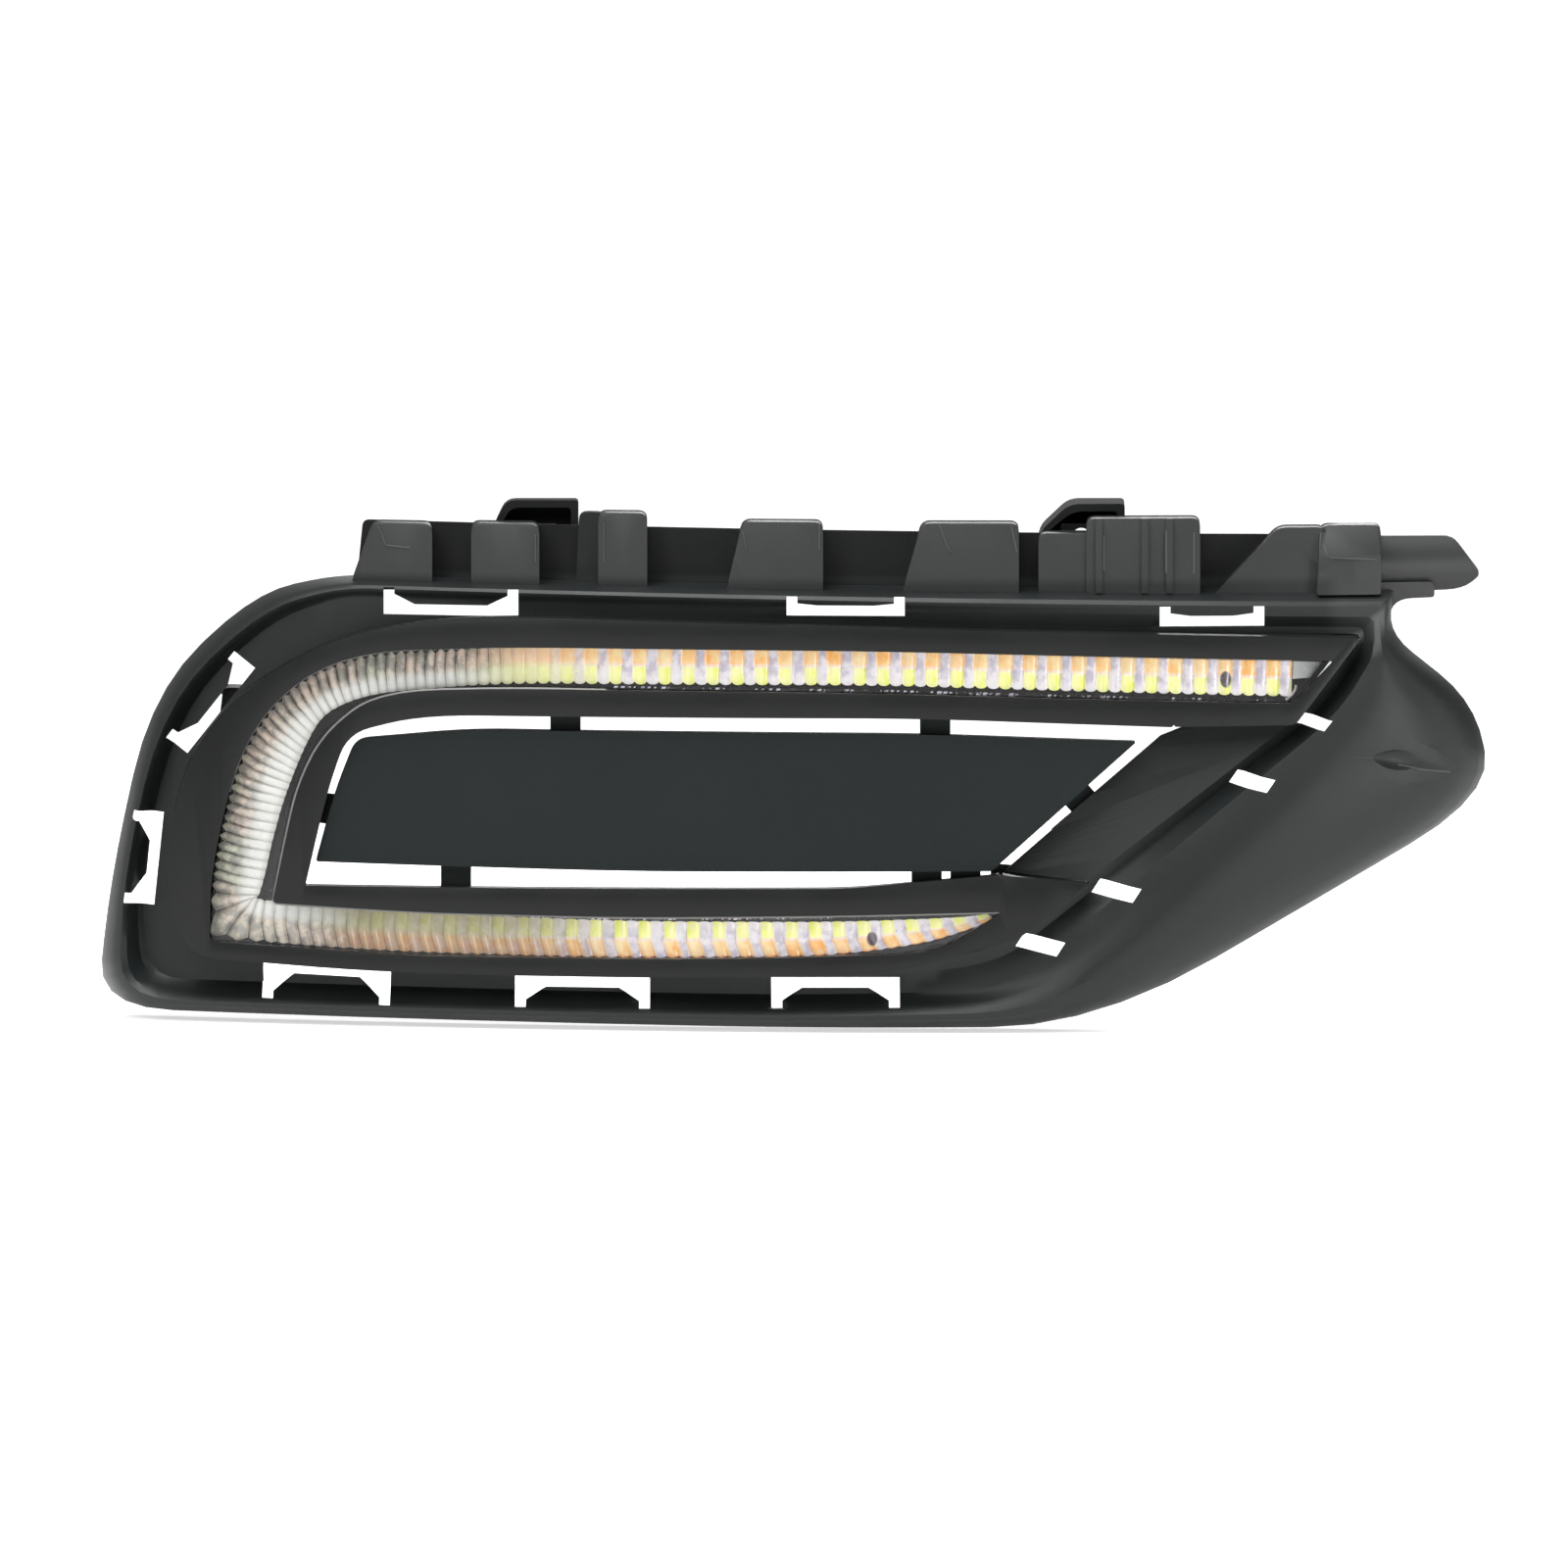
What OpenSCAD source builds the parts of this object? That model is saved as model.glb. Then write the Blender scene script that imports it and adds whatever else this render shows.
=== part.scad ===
// Daytime running light for the corner of a bumper.
// A bowed frame moulding carries a C shaped light bar, a blank panel in its
// mouth and a corrugated mounting rail above. The front faces -Y. Depths are
// measured back from an upright arc that touches the face of the lamp trim.
// The origin lies midway between the two mounting holes, on their rear face.

/* [Frame] */
// Reach of the frame to the left of the mounting centre
left_reach = 212; // [204:1:222]
// Reach of the fin to the right of the mounting centre
right_reach = 203; // [196:1:212]
// Drop of the lower edge below the mounting line
lower_edge = 144; // [141:1:152]
// Radius of the bow in plan
bow_r = 650; // [560:10:900]
// Place along the width where the bow is furthest forward
bow_x = 60; // [40:5:80]
// Wall of the frame moulding
frame_wall = 2.5; // [2:0.1:3]
// Depth of the floor of the trough round the lamp
floor_depth = 12; // [11:0.5:13]
// Depth at which the rolled rim ends
rim_depth = 27; // [24:1:31]
// Depth of the crest of the rim
crest_depth = 3; // [2:0.5:5]
// Height of the step between the fin and its groove
step_height = 7; // [5:0.5:8]
// Gap between a snap tongue and the rim of its slot
tongue_gap = 3.2; // [2.5:0.1:4]

/* [Rail] */
// Depth of the front of the rail boxes
rail_front = 15; // [13:0.5:17]
// Depth of the rear wall of the rail
rail_back = 26; // [24:0.5:28]
// Height of the low walls of the rail above the mounting line
rail_height = 4; // [2:0.5:6]
// Depth from the datum arc to the rear of the mounting lugs
lug_depth = 39; // [37:1:42]

/* [Mounting] */
// Distance between the two mounting holes
mount_spacing = 162; // [156:1:166]
// Diameter of each mounting hole
mount_bore = 5.5; // [5:0.1:6.2]
// Thickness of the mounting lugs
lug_wall = 3; // [2.5:0.1:3.6]
// Width of a mounting tower
tower_width = 25.5; // [24:0.5:28]
// Height of a mounting tower above the mounting line
tower_height = 11.5; // [10:0.5:13]

/* [Lamp] */
// Thickness of the face of the lamp trim
trim_face = 2.4; // [2:0.1:3]
// Wall of the skirt behind the trim
trim_wall = 1.8; // [1.5:0.1:2]
// Clearance between parts that fit into each other
fit = 0.3; // [0.2:0.05:0.4]
// Thickness of the outer lens
lens_wall = 2.2; // [1.8:0.1:2.6]
// Wall of the lamp housing
housing_wall = 1.6; // [1.4:0.1:1.8]
// Depth of the rear face of the lamp housing
housing_depth = 26; // [25:0.5:29]
// Spacing of the light emitters along the bar
led_pitch = 7.2; // [6.6:0.1:8]
// Spacing of the flutes of the inner optic
flute_pitch = 3.6; // [3:0.1:4.5]
// Height of the flutes
flute_height = 1.1; // [0.8:0.1:1.3]
// Thickness of the light emitter strips
board_wall = 1; // [0.8:0.1:1.4]

/* [Blank panel] */
// Thickness of the blank panel
panel_wall = 2.5; // [2:0.1:3]
// Depth of the face of the blank panel
panel_depth = 3; // [2.5:0.5:4]
// Width of the arms that hold the blank panel
arm_width = 9; // [8:0.5:10]

/* [Driver] */
// Height of the driver case along the lamp
driver_height = 52; // [46:1:58]
// Depth of the driver case behind the lamp housing
driver_depth = 15; // [13:1:18]
// Width of the connector shell
socket_width = 20; // [18:1:22]
// Length of the connector shell
socket_length = 18; // [16:1:20]
// Diameter of the housing screws
screw_d = 3.9; // [3.5:0.1:4.2]

/* [Hidden] */
$fn = 48;

left = -left_reach;
right = right_reach;
low = -lower_edge;
mount_x = mount_spacing / 2;
tiny = 0.02;
// How far the solids are drawn to the rear before the bow cuts them
sweep_back = 135;
sweep_front = -12;

// Plan of the bow: distance along Y of a point at depth d behind the datum arc
function bow_y(x, d) = bow_r - sqrt(pow(bow_r - d, 2) - pow(x - bow_x, 2)) - bow_home;
// The mounting lugs share one plane, which holds the origin
bow_home = bow_r - sqrt(pow(bow_r - lug_depth, 2) - pow(mount_x + bow_x, 2));
function on_bow(p) = [p[0], bow_y(p[0], p[2]), p[1]];
// Slope of the bow in plan, in degrees
function bow_turn(x) = asin((x - bow_x) / bow_r);

function mix(a, b, t) = a * (1 - t) + b * t;
function flat(p) = [p[0], p[1]];
function space(p) = [p[0], p[1], p[2]];
function curve(a, b, c, t) = mix(mix(a, b, t), mix(b, c, t), t);
function turn(c, i) = (i + len(c)) % len(c);

// Corners are [x, z, third value, rounding before, rounding after]
function tangent_point(p, q, r) = mix(space(p), space(q), min(r / norm(flat(q) - flat(p)), 0.47));
function corner_arc(c, i, steps) =
    let (p = c[i], a = c[turn(c, i - 1)], b = c[turn(c, i + 1)])
    let (s = tangent_point(p, a, p[3]), e = tangent_point(p, b, p[4]))
    [for (j = [0:steps]) curve(s, space(p), e, j / steps)];
function outline(c, steps = 6) = [for (i = [0:len(c) - 1]) each corner_arc(c, i, steps)];
function shape(c, steps = 6) = [for (p = outline(c, steps)) flat(p)];

// Corner of a flat outline with one rounding
function at(x, z, r) = [x, z, 0, r, r];

// Outer edge of the lamp trim, closed across the mouth of the C
trim_corners = [
    [left + 26.7, low + 19.7, 0, 12, 9], at(left + 83, low + 16.4, 23), at(-53.6, low + 16, 29),
    at(23.2, low + 17.2, 17), at(62.3, low + 28.3, 2.4), at(83.2, low + 44.5, 1),
    at(57.1, low + 47.2, 0.4), at(right - 95.4, -53, 0.4), at(right - 58.9, -52.7, 1.8),
    at(right - 39.2, -27, 2.4), at(-100, -20.9, 35), at(left + 68.5, -28.4, 26),
    at(left + 30.8, -55, 26), at(left + 19.2, low + 47.4, 26)];
// Hole inside the C, from the arm edges to the diagonal of the frame
mouth_corners = [
    at(left + 62.9, low + 41.7, 0.6), at(left + 69.3, -74.6, 12), at(left + 75.4, -57, 7),
    at(left + 97.5, -51, 17), at(33.3, -50.5, 23), at(right - 95.1, -53.2, 0.6),
    at(57.1, low + 47.3, 0.6), at(11.9, low + 43.1, 9), at(-53.6, low + 42.5, 17)];
// Window of the trim, through which the lens shows
window_corners = [
    at(left + 34.2, low + 24.3, 1.7), at(left + 94.6, low + 21.4, 17), at(-30.4, low + 21.5, 29),
    at(39.1, low + 24, 12), at(57.1, low + 36.2, 1.2), at(7.2, low + 34.9, 17),
    at(-53.6, low + 33.9, 17), at(left + 94.6, low + 34.4, 17), at(left + 53.1, low + 36.2, 1.4),
    at(left + 54.5, -84.8, 12), at(left + 64.1, -56.4, 17), at(left + 83, -44, 23),
    at(-88.4, -42.6, 23), at(21.8, -43.1, 29), at(right - 59.7, -46.3, 1.2),
    at(right - 47.6, -33.8, 1.2), at(21.8, -30.5, 29), at(-94.2, -30.3, 29),
    at(left + 71.4, -33, 23), at(left + 45.2, -55.4, 23), at(left + 34.8, low + 47.6, 26)];
// Edge of the blank panel
panel_corners = [
    at(left + 65.8, low + 48.6, 1), at(left + 71.4, -74.6, 12), at(left + 77.7, -58.8, 4),
    at(-100, -55.2, 12), at(33.3, -55.3, 17), at(right - 105.9, -57.6, 1),
    at(54.2, low + 48.1, 1), at(-53.6, low + 47.4, 23)];

module extruded(from, to) {
    translate([0, to, 0]) rotate([90, 0, 0]) linear_extrude(height = to - from) children();
}

// Cuts an upright slice of the bow out of an outline, between two depths
module bowed(near, far) {
    intersection() {
        extruded(sweep_front - bow_home, sweep_back) children();
        bow_slice(near, far);
    }
}
module bow_slice(near, far) {
    translate([bow_x, bow_r - bow_home, 2 * low]) difference() {
        cylinder(r = bow_r - near, h = 3 * lower_edge, $fn = 360);
        translate([0, 0, -1]) cylinder(r = bow_r - far, h = 3 * lower_edge + 2, $fn = 360);
    }
}

// Frame moulding
// Five loops of corners with equal counts: edge, foot, groove, bank and opening.
// The third value is the depth of the surface there.
fin_front = crest_depth - 2;
groove_depth = fin_front + step_height + 1;
bank_depth = groove_depth - 2;
edge_corners = [
    [left, low + 1.8, rim_depth, 14, 23], [0, low, rim_depth, 29, 29],
    [86.1, low + 0.5, rim_depth, 32, 40], [right, -75.7, 20, 29, 13],
    [right - 5, -48, 20, 14, 14], [right - 31, -27.3, 24, 9, 11],
    [right - 29.3, -13.9, rail_back, 1, 1], [left + 72.8, -11.4, rail_back, 9, 9],
    [left + 47.6, -17.2, rail_back, 17, 23], [left + 16.8, -47.7, rim_depth, 23, 26],
    [left + 4.7, low + 43, rim_depth, 27, 26]];
foot_corners = [
    [left + 16, low + 12, floor_depth, 10, 10], [0, low + 10.5, floor_depth, 29, 29],
    [58, low + 12.5, 8, 16, 16], [right - 76, -73.6, fin_front, 20, 20],
    [right - 46, -49.5, fin_front, 14, 14], [right - 35.5, -32, fin_front, 4, 4],
    [right - 36, -21.5, floor_depth - 2, 2, 2], [left + 74, -17, floor_depth, 9, 9],
    [left + 52, -24.5, floor_depth, 17, 23], [left + 25, -52, floor_depth, 23, 26],
    [left + 13, low + 43, floor_depth, 27, 26]];
groove_corners = [
    [left + 23, low + 17, floor_depth, 10, 9], [0, low + 14.4, floor_depth, 29, 29],
    [56, low + 20, groove_depth, 16, 10], [right - 78.3, -70.1, groove_depth, 20, 20],
    [right - 49.4, -47.3, groove_depth, 14, 14], [right - 38.4, -30.4, groove_depth, 4, 4],
    [right - 38.6, -24.6, floor_depth, 2, 2], [left + 76, -20, floor_depth, 9, 9],
    [left + 56, -28.5, floor_depth, 17, 23], [left + 29, -55, floor_depth, 23, 26],
    [left + 17, low + 45, floor_depth, 27, 26]];
bank_corners = [
    [left + 26, low + 19, floor_depth, 10, 9], [0, low + 16.4, floor_depth, 29, 29],
    [55, low + 24, bank_depth, 16, 10], [right - 81.5, -69, bank_depth, 20, 20],
    [right - 52.5, -46.5, bank_depth, 14, 14], [right - 41, -31, bank_depth, 4, 4],
    [right - 41, -26.5, floor_depth, 2, 2], [left + 78, -22, floor_depth, 9, 9],
    [left + 58, -30, floor_depth, 17, 23], [left + 32, -56, floor_depth, 23, 26],
    [left + 20, low + 46, floor_depth, 27, 26]];
opening_corners = [
    [left + 40, low + 32, floor_depth, 10, 9], [0, low + 30, floor_depth, 29, 29],
    [40, low + 36, floor_depth, 10, 6], [52, low + 50, floor_depth, 4, 4],
    [right - 103, -58, floor_depth, 4, 4], [right - 70, -45, floor_depth, 2, 2],
    [right - 75, -36, floor_depth, 2, 2], [left + 84, -34, floor_depth, 9, 9],
    [left + 66, -42, floor_depth, 12, 12], [left + 46, -62, floor_depth, 12, 12],
    [left + 36, low + 50, floor_depth, 14, 14]];
// Share of the way from the edge to the foot at which each corner has its crest
crest_share = [0.45, 0.45, 0.5, 0.72, 0.7, 0.6, 0.6, 0.5, 0.5, 0.45, 0.45];
crest_level = [crest_depth, crest_depth, crest_depth, fin_front - 1.5, fin_front - 1,
               fin_front, rail_front - 5, rail_front - 5, crest_depth + 3, crest_depth, crest_depth];
edge_span = 24;
arc_steps = 5;

function spans(i) = let (c = edge_corners)
    max(1, ceil(norm(flat(c[turn(c, i + 1)]) - flat(c[i])) / edge_span));
// A loop with arcs at its corners and enough points between them to follow the bow
function loop_points(c) = [for (i = [0:len(c) - 1])
    let (arc = corner_arc(c, i, arc_steps), n = turn(c, i + 1))
    let (next = tangent_point(c[n], c[i], c[n][3]), m = spans(i))
    each concat(arc, [for (k = [1:1:m - 1]) mix(arc[arc_steps], next, k / m)])];
function with_third(c, v) = [for (i = [0:len(c) - 1]) [c[i][0], c[i][1], v[i], c[i][3], c[i][4]]];

edge_loop = loop_points(edge_corners);
foot_loop = loop_points(foot_corners);
groove_loop = loop_points(groove_corners);
bank_loop = loop_points(bank_corners);
opening_loop = loop_points(opening_corners);
share_loop = [for (p = loop_points(with_third(edge_corners, crest_share))) p[2]];
crest_loop = [for (p = loop_points(with_third(edge_corners, crest_level))) p[2]];

function eased(t) = t * t * (3 - 2 * t);
function lay(p, q, t, d) = [mix(p[0], q[0], t), mix(p[1], q[1], t), d];
// Row on the rolled edge, from upright at the edge to level at the crest
function roll_row(angle, wall) = [for (i = [0:len(edge_loop) - 1])
    let (e = edge_loop[i], f = foot_loop[i], crest = crest_loop[i] + wall)
    let (start = wall / norm(flat(f) - flat(e)))
    let (t = start + (share_loop[i] - start) * (1 - cos(angle)))
    lay(e, f, t, mix(e[2], crest, sin(angle)))];
// Row on the slope from the crest to the foot
function slope_row(t, wall) = [for (i = [0:len(edge_loop) - 1])
    let (e = edge_loop[i], f = foot_loop[i], s = share_loop[i])
    lay(e, f, mix(s, 1, t), mix(crest_loop[i], f[2], eased(t)) + wall)];
function lowered(loop, wall) = [for (p = loop) [p[0], p[1], p[2] + wall]];

front_rows = concat(
    [for (a = [0:18:90]) roll_row(a, 0)],
    [for (t = [0.25:0.25:1]) slope_row(t, 0)],
    [groove_loop, bank_loop, opening_loop]);
rear_rows = concat(
    [for (a = [0:30:90]) roll_row(a, frame_wall)],
    [for (t = [0.5:0.5:1]) slope_row(t, frame_wall)],
    [for (l = [groove_loop, bank_loop, opening_loop]) lowered(l, frame_wall)]);

// Closed skin through rows of points: the first list runs inwards, the second back out
module skin(front, rear) {
    rows = concat(front, [for (i = [len(rear) - 1:-1:0]) rear[i]]);
    n = len(rows[0]);
    points = [for (r = rows) each [for (p = r) on_bow(p)]];
    faces = [for (r = [0:len(rows) - 1]) let (a = r * n, b = ((r + 1) % len(rows)) * n)
        for (i = [0:n - 1]) let (j = (i + 1) % n)
            each [[a + i, b + i, b + j], [a + i, b + j, a + j]]];
    polyhedron(points, faces, convexity = 8);
}

// Slots with snap tongues: [x, z, angle, length, width]
slots = [
    [-106, -18, 0, 40, 8.2], [11, -18, 0, 35, 5.8], [119.5, -21, 0, 31, 6],
    [left + 34.5, -49.5, 52, 33, 8], [left + 14.5, low + 48, 84, 28, 9],
    [-143, low + 12, 178, 38, 10.5], [-67, low + 10.8, 180, 40, 8.8],
    [8, low + 11.5, 180.5, 38, 8.8]];
tongue_step = 6;
module slot_outline(length, width) {
    difference() {
        square([length, width], center = true);
        polygon([[-length / 2 + tongue_gap + tongue_step, -width / 2 + tongue_gap],
                 [-length / 2 + tongue_gap, width / 2 - 2], [-length / 2 + tongue_gap, width],
                 [length / 2 - tongue_gap, width], [length / 2 - tongue_gap, width / 2 - 2],
                 [length / 2 - tongue_gap - tongue_step, -width / 2 + tongue_gap]]);
    }
}
module slot_cut(s) {
    home = bow_y(s[0], 0);
    extruded(home - 8, home + rail_front + 7)
        translate([s[0], s[1]]) rotate(s[2]) slot_outline(s[3], s[4]);
}
// Small slanted holes along the groove: [x, z, length, width]
groove_holes = [
    [right - 53.6, -52, 11.5, 4.4], [right - 71.6, -69.6, 13.5, 5.2],
    [91.2, low + 42, 14.5, 5.5], [68.7, low + 26, 14.5, 5.5]];
module groove_hole(h) {
    home = bow_y(h[0], 0);
    extruded(home - 8, home + 30)
        translate([h[0], h[1]]) rotate(-9)
            polygon([[-h[2] / 2, -h[3] / 2 + 1], [h[2] / 2 - 2, -h[3] / 2],
                     [h[2] / 2, h[3] / 2 - 1], [-h[2] / 2 + 2, h[3] / 2]]);
}

// Pointed hollow in the fin
dimple_length = 26;
dimple_height = 8;
dimple_depth = 3.4;
module spindle(length, height) {
    r = (pow(length / 2, 2) + pow(height / 2, 2)) / height;
    rotate([0, 90, 0]) rotate_extrude($fn = 24) intersection() {
        translate([height / 2 - r, 0]) circle(r, $fn = 72);
        translate([0, -length]) square([height, 2 * length]);
    }
}
module in_fin() {
    x = right - 24.5;
    translate([x, bow_y(x, fin_front - 1.2), -64.2]) rotate([0, 8, bow_turn(x)]) children();
}
module dimple() {
    in_fin() scale([1, 2 * dimple_depth / dimple_height, 1]) spindle(dimple_length, dimple_height);
}
// Bulge on the rear of the fin that keeps a wall behind the hollow
module dimple_pad() {
    length = dimple_length + 4;
    height = dimple_height + 4;
    in_fin() translate([0, frame_wall + 0.6, 0]) intersection() {
        scale([1, 2 * (dimple_depth + 0.4) / height, 1]) spindle(length, height);
        translate([-length, 0, -height]) cube([2 * length, 2 * height, 2 * height]);
    }
}

// Corrugated rail: boxes are [from, to, top, front depth, lean of the left side]
rail_left = left + 75.7;
rail_right = right - 33.4;
rail_foot = -15;
// Block at the right end, whose upper front is a bevel
wedge_left = right - 52.5;
wedge_depth = rail_front - 3;
wedge_level = -3.7;
wedge_lean = 29;
rail_boxes = [
    [rail_left, -111.6, 5, rail_front, 7], [-100, -79.8, 5.4, rail_front, 0],
    [-69, -60, 8.6, rail_front + 7, 1], [-62.3, -47.8, 9, rail_front + 1, 0],
    [-24.6, 4.3, 6.8, rail_front, 5], [27.5, 62.3, 6.6, rail_front, 6],
    [68.1, 84.5, 3.6, rail_front + 1, 0], [82.3, 116, 8, rail_front, 0],
    [right - 83, right - 50, 5, rail_front + 1, 19], [wedge_left, rail_right, 5.4, wedge_depth, 1]];
rail_ribs = [85, 98.6, 105.9];
module box_outline(b, inset) {
    x0 = b[0] + inset;
    x1 = b[1] - inset;
    z1 = b[2] - inset;
    polygon(shape([at(x0, rail_foot + inset, 1), at(x1, rail_foot + inset, 1),
        at(x1, z1, 2.5 - inset / 2), at(x0 + b[4], z1, 2.5 - inset / 2)], 4));
}
module rail_box(b) {
    difference() {
        bowed(b[3], rail_back + frame_wall) box_outline(b, 0);
        bowed(b[3] + frame_wall, rail_back + 2 * frame_wall) box_outline(b, frame_wall);
    }
}
// Cutter for a bevel that leans back from a level on the front of a box
module lean_cut(b, level, angle) {
    x = (b[0] + b[1]) / 2;
    w = b[1] - b[0] + 8;
    translate([x, bow_y(x, b[3]), level]) rotate([-angle, 0, bow_turn(x)])
        translate([-w / 2, -20, 0]) cube([w, 20, 30]);
}
// Box whose upper front leans back, walls included
module leaning_box(b, level, angle) {
    difference() {
        bowed(b[3], rail_back + frame_wall) box_outline(b, 0);
        lean_cut(b, level, angle);
        difference() {
            bowed(b[3] + frame_wall, rail_back + 2 * frame_wall) box_outline(b, frame_wall);
            lean_cut([b[0], b[1], b[2], b[3] + frame_wall + 0.4], level, angle);
        }
    }
}
module rail() {
    bowed(rail_back, rail_back + frame_wall) difference() {
        polygon(shape([at(rail_left + 2, rail_foot, 1), at(rail_right - 2, rail_foot, 1),
            at(rail_right - 2, rail_height - 2, 2), at(rail_left + 4, rail_height + 1, 2)], 4));
        for (b = rail_boxes) box_outline(b, frame_wall);
    }
    for (b = rail_boxes)
        if (b[3] == wedge_depth) leaning_box(b, wedge_level, wedge_lean);
        else rail_box(b);
    for (x = rail_ribs) bowed(rail_front - 1, rail_front + 1)
        translate([x, rail_foot + 1]) square([2, 7 - rail_foot]);
}
// Rounded horn at the right end of the rail, blended into the neck of the fin
module horn() {
    bowed(rail_back - 5, rail_back + frame_wall) polygon(shape([
        at(rail_right - 4, -12, 1), at(rail_right + 16, -12, 2), at(rail_right + 16, -16.6, 1),
        at(rail_right + 3.4, -17, 7), at(rail_right + 2.2, -27, 1), at(rail_right - 4, -25, 1)], 6));
    intersection() {
        bowed(rail_front - 3, rail_back + frame_wall) polygon(shape([
            at(rail_right - 3, -14.5, 1), at(rail_right + 8, -15, 5), at(right - 9, -14.5, 5),
            at(right - 3.5, -10, 2), at(right - 12, 1.4, 3), at(rail_right - 3, 1.6, 1)], 4));
        translate([rail_right - 5, bow_y(right - 10, rail_back + 1), -6.5])
            rotate([0, 90, bow_turn(right - 15)]) cylinder(r = 11.5, h = 60, $fn = 64);
    }
}

// Mounting towers with their lugs, all ending in one plane
tower_wall = 2.2;
tower_low = -9;
hook_lean = [4, 9];
module tower_outline(x0, lean, inset) {
    polygon(shape([at(x0 + inset, tower_low - (inset > 0 ? 5 : 0), 0.1),
        at(x0 + tower_width - inset, tower_low - (inset > 0 ? 5 : 0), 0.1),
        at(x0 + tower_width - inset, tower_height - inset, 1.2),
        at(x0 + lean + inset / 2, tower_height - inset, 3), at(x0 + inset, 3, 3)], 4));
}
module tower(x, lean) {
    top = tower_height;
    x0 = x - tower_width / 2;
    front = bow_y(x - 8, rail_back + 1);
    difference() {
        extruded(front, 0) tower_outline(x0, lean, 0);
        extruded(front - 1, -lug_wall) tower_outline(x0, lean, tower_wall);
        translate([x, 1, 0]) rotate([90, 0, 0]) cylinder(d = mount_bore, h = lug_wall + 5);
        intersection() {
            translate([x0 - 1, front - 1, tower_low - 1]) cube([tower_width + 2, 80, 60]);
            bow_slice(0, rail_back + 1);
        }
    }
}

// Bosses for the housing screws, on the rear of the trough floor
screws = [[-66, -19.4], [62, -19.6], [left + 20, -76], [-105, low + 9.5], [-29, low + 9]];
boss_r = 3.4;
thread_depth = 0.5;
pilot = screw_d - 2 * thread_depth;
// Cylinder square to the bow through point s at depth home
module radial(s, home, d, from, to) {
    x = s[0];
    translate([x, bow_y(x, home), s[1]]) rotate([-90, 0, bow_turn(x)])
        translate([0, 0, from - home]) cylinder(d = d, h = to - from);
}
module frame_boss(s) {
    radial(s, housing_depth, 2 * boss_r, floor_depth + 1, housing_depth - housing_wall - fit);
}

flange = 3;
module lamp_opening() {
    union() {
        offset(delta = -flange) polygon(shape(trim_corners));
        polygon(shape(mouth_corners));
        intersection() {
            offset(delta = fit) polygon(shape(trim_corners));
            union() {
                polygon([[right - 92, -80], [right - 32, -80], [right - 32, -20], [right - 43.5, -20],
                         [right - 50, -30.5], [right - 92, -30.5]]);
                translate([-18, low]) square([118, 60]);
            }
        }
    }
}

module bezel_frame() {
    color("#2b2e2f") difference() {
        union() {
            skin(front_rows, rear_rows);
            rail();
            horn();
            dimple_pad();
            tower(-mount_x, hook_lean[0]);
            tower(mount_x, hook_lean[1]);
            for (s = screws) frame_boss(s);
        }
        extruded(sweep_front - bow_home, sweep_back) lamp_opening();
        for (s = slots) slot_cut(s);
        for (h = groove_holes) groove_hole(h);
        dimple();
        for (s = screws) radial(s, housing_depth, pilot, floor_depth + 3, housing_depth);
    }
}

// Blank panel with arms that reach behind the lamp trim
arm_depth = 8;
arm_wall = 2.5;
// Arms are [x, z, angle], each with its root on the panel
arms = [
    [-72, -57, 90], [37.5, -58, 90], [35, low + 50, -90],
    [-104.5, low + 50, -90], [left + 70, -80, 175], [46.5, low + 50, -90]];
// The arm across the diagonal passes behind the frame
diagonal = flat(panel_corners[5]) - flat(panel_corners[6]);
deep_root = mix(flat(panel_corners[5]), flat(panel_corners[6]), 0.42);
deep_arm = [deep_root[0], deep_root[1], atan2(diagonal[1], diagonal[0]) - 90];
deep_reach = 8;
deep_depth = floor_depth + frame_wall + 0.05;
module arm_outline(a) {
    translate([a[0], a[1]]) rotate(a[2]) translate([-4, -arm_width / 2]) square([22, arm_width]);
}
module panel_shape() {
    polygon(shape(panel_corners));
}
panel_skirt = 1.6;
module centre_blank() {
    color("#222627") {
        bowed(panel_depth, panel_depth + panel_wall) panel_shape();
        bowed(panel_depth + panel_wall - tiny, arm_depth + arm_wall) difference() {
            panel_shape();
            offset(delta = -panel_skirt) panel_shape();
        }
        bowed(arm_depth, arm_depth + arm_wall) difference() {
            for (a = arms) arm_outline(a);
            offset(delta = -panel_skirt) panel_shape();
            offset(delta = fit) housing_shape();
        }
        bowed(panel_depth + panel_wall - tiny, deep_depth + arm_wall) intersection() {
            deep_outline(1);
            panel_shape();
        }
        bowed(deep_depth, deep_depth + arm_wall) deep_outline(deep_reach);
    }
}
module deep_outline(reach) {
    translate([deep_arm[0], deep_arm[1]]) rotate(deep_arm[2])
        translate([-panel_skirt - 1, -arm_width / 2]) square([reach + panel_skirt + 1, arm_width]);
}

// Lamp
module c_shape() {
    difference() {
        polygon(shape(trim_corners));
        offset(delta = 0.1) polygon(shape(mouth_corners));
        mouth_side();
    }
}
// Strip across the diagonal, so that the two arms end clear of each other
module mouth_side() {
    from = mouth_corners[6];
    run = flat(mouth_corners[5]) - flat(from);
    translate(flat(from)) rotate(atan2(run[1], run[0])) translate([-0.7, -0.4])
        square([norm(run) + 1.4, 0.8]);
}
skirt_depth = floor_depth - fit;
inner_skirt = arm_depth - fit;
module lamp_trim() {
    color("#34383a") {
        bowed(0, trim_face) difference() {
            c_shape();
            polygon(shape(window_corners));
        }
        bowed(trim_face - tiny, inner_skirt) difference() {
            c_shape();
            offset(delta = -trim_wall) c_shape();
        }
        bowed(inner_skirt - tiny, skirt_depth) difference() {
            c_shape();
            offset(delta = -trim_wall) polygon(shape(trim_corners));
        }
    }
}
lens_depth = trim_face + 0.3;
lens_back = lens_depth + lens_wall;
seal_wall = 0.6;
module lens_shape() {
    offset(delta = -trim_wall - fit) c_shape();
}
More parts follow.
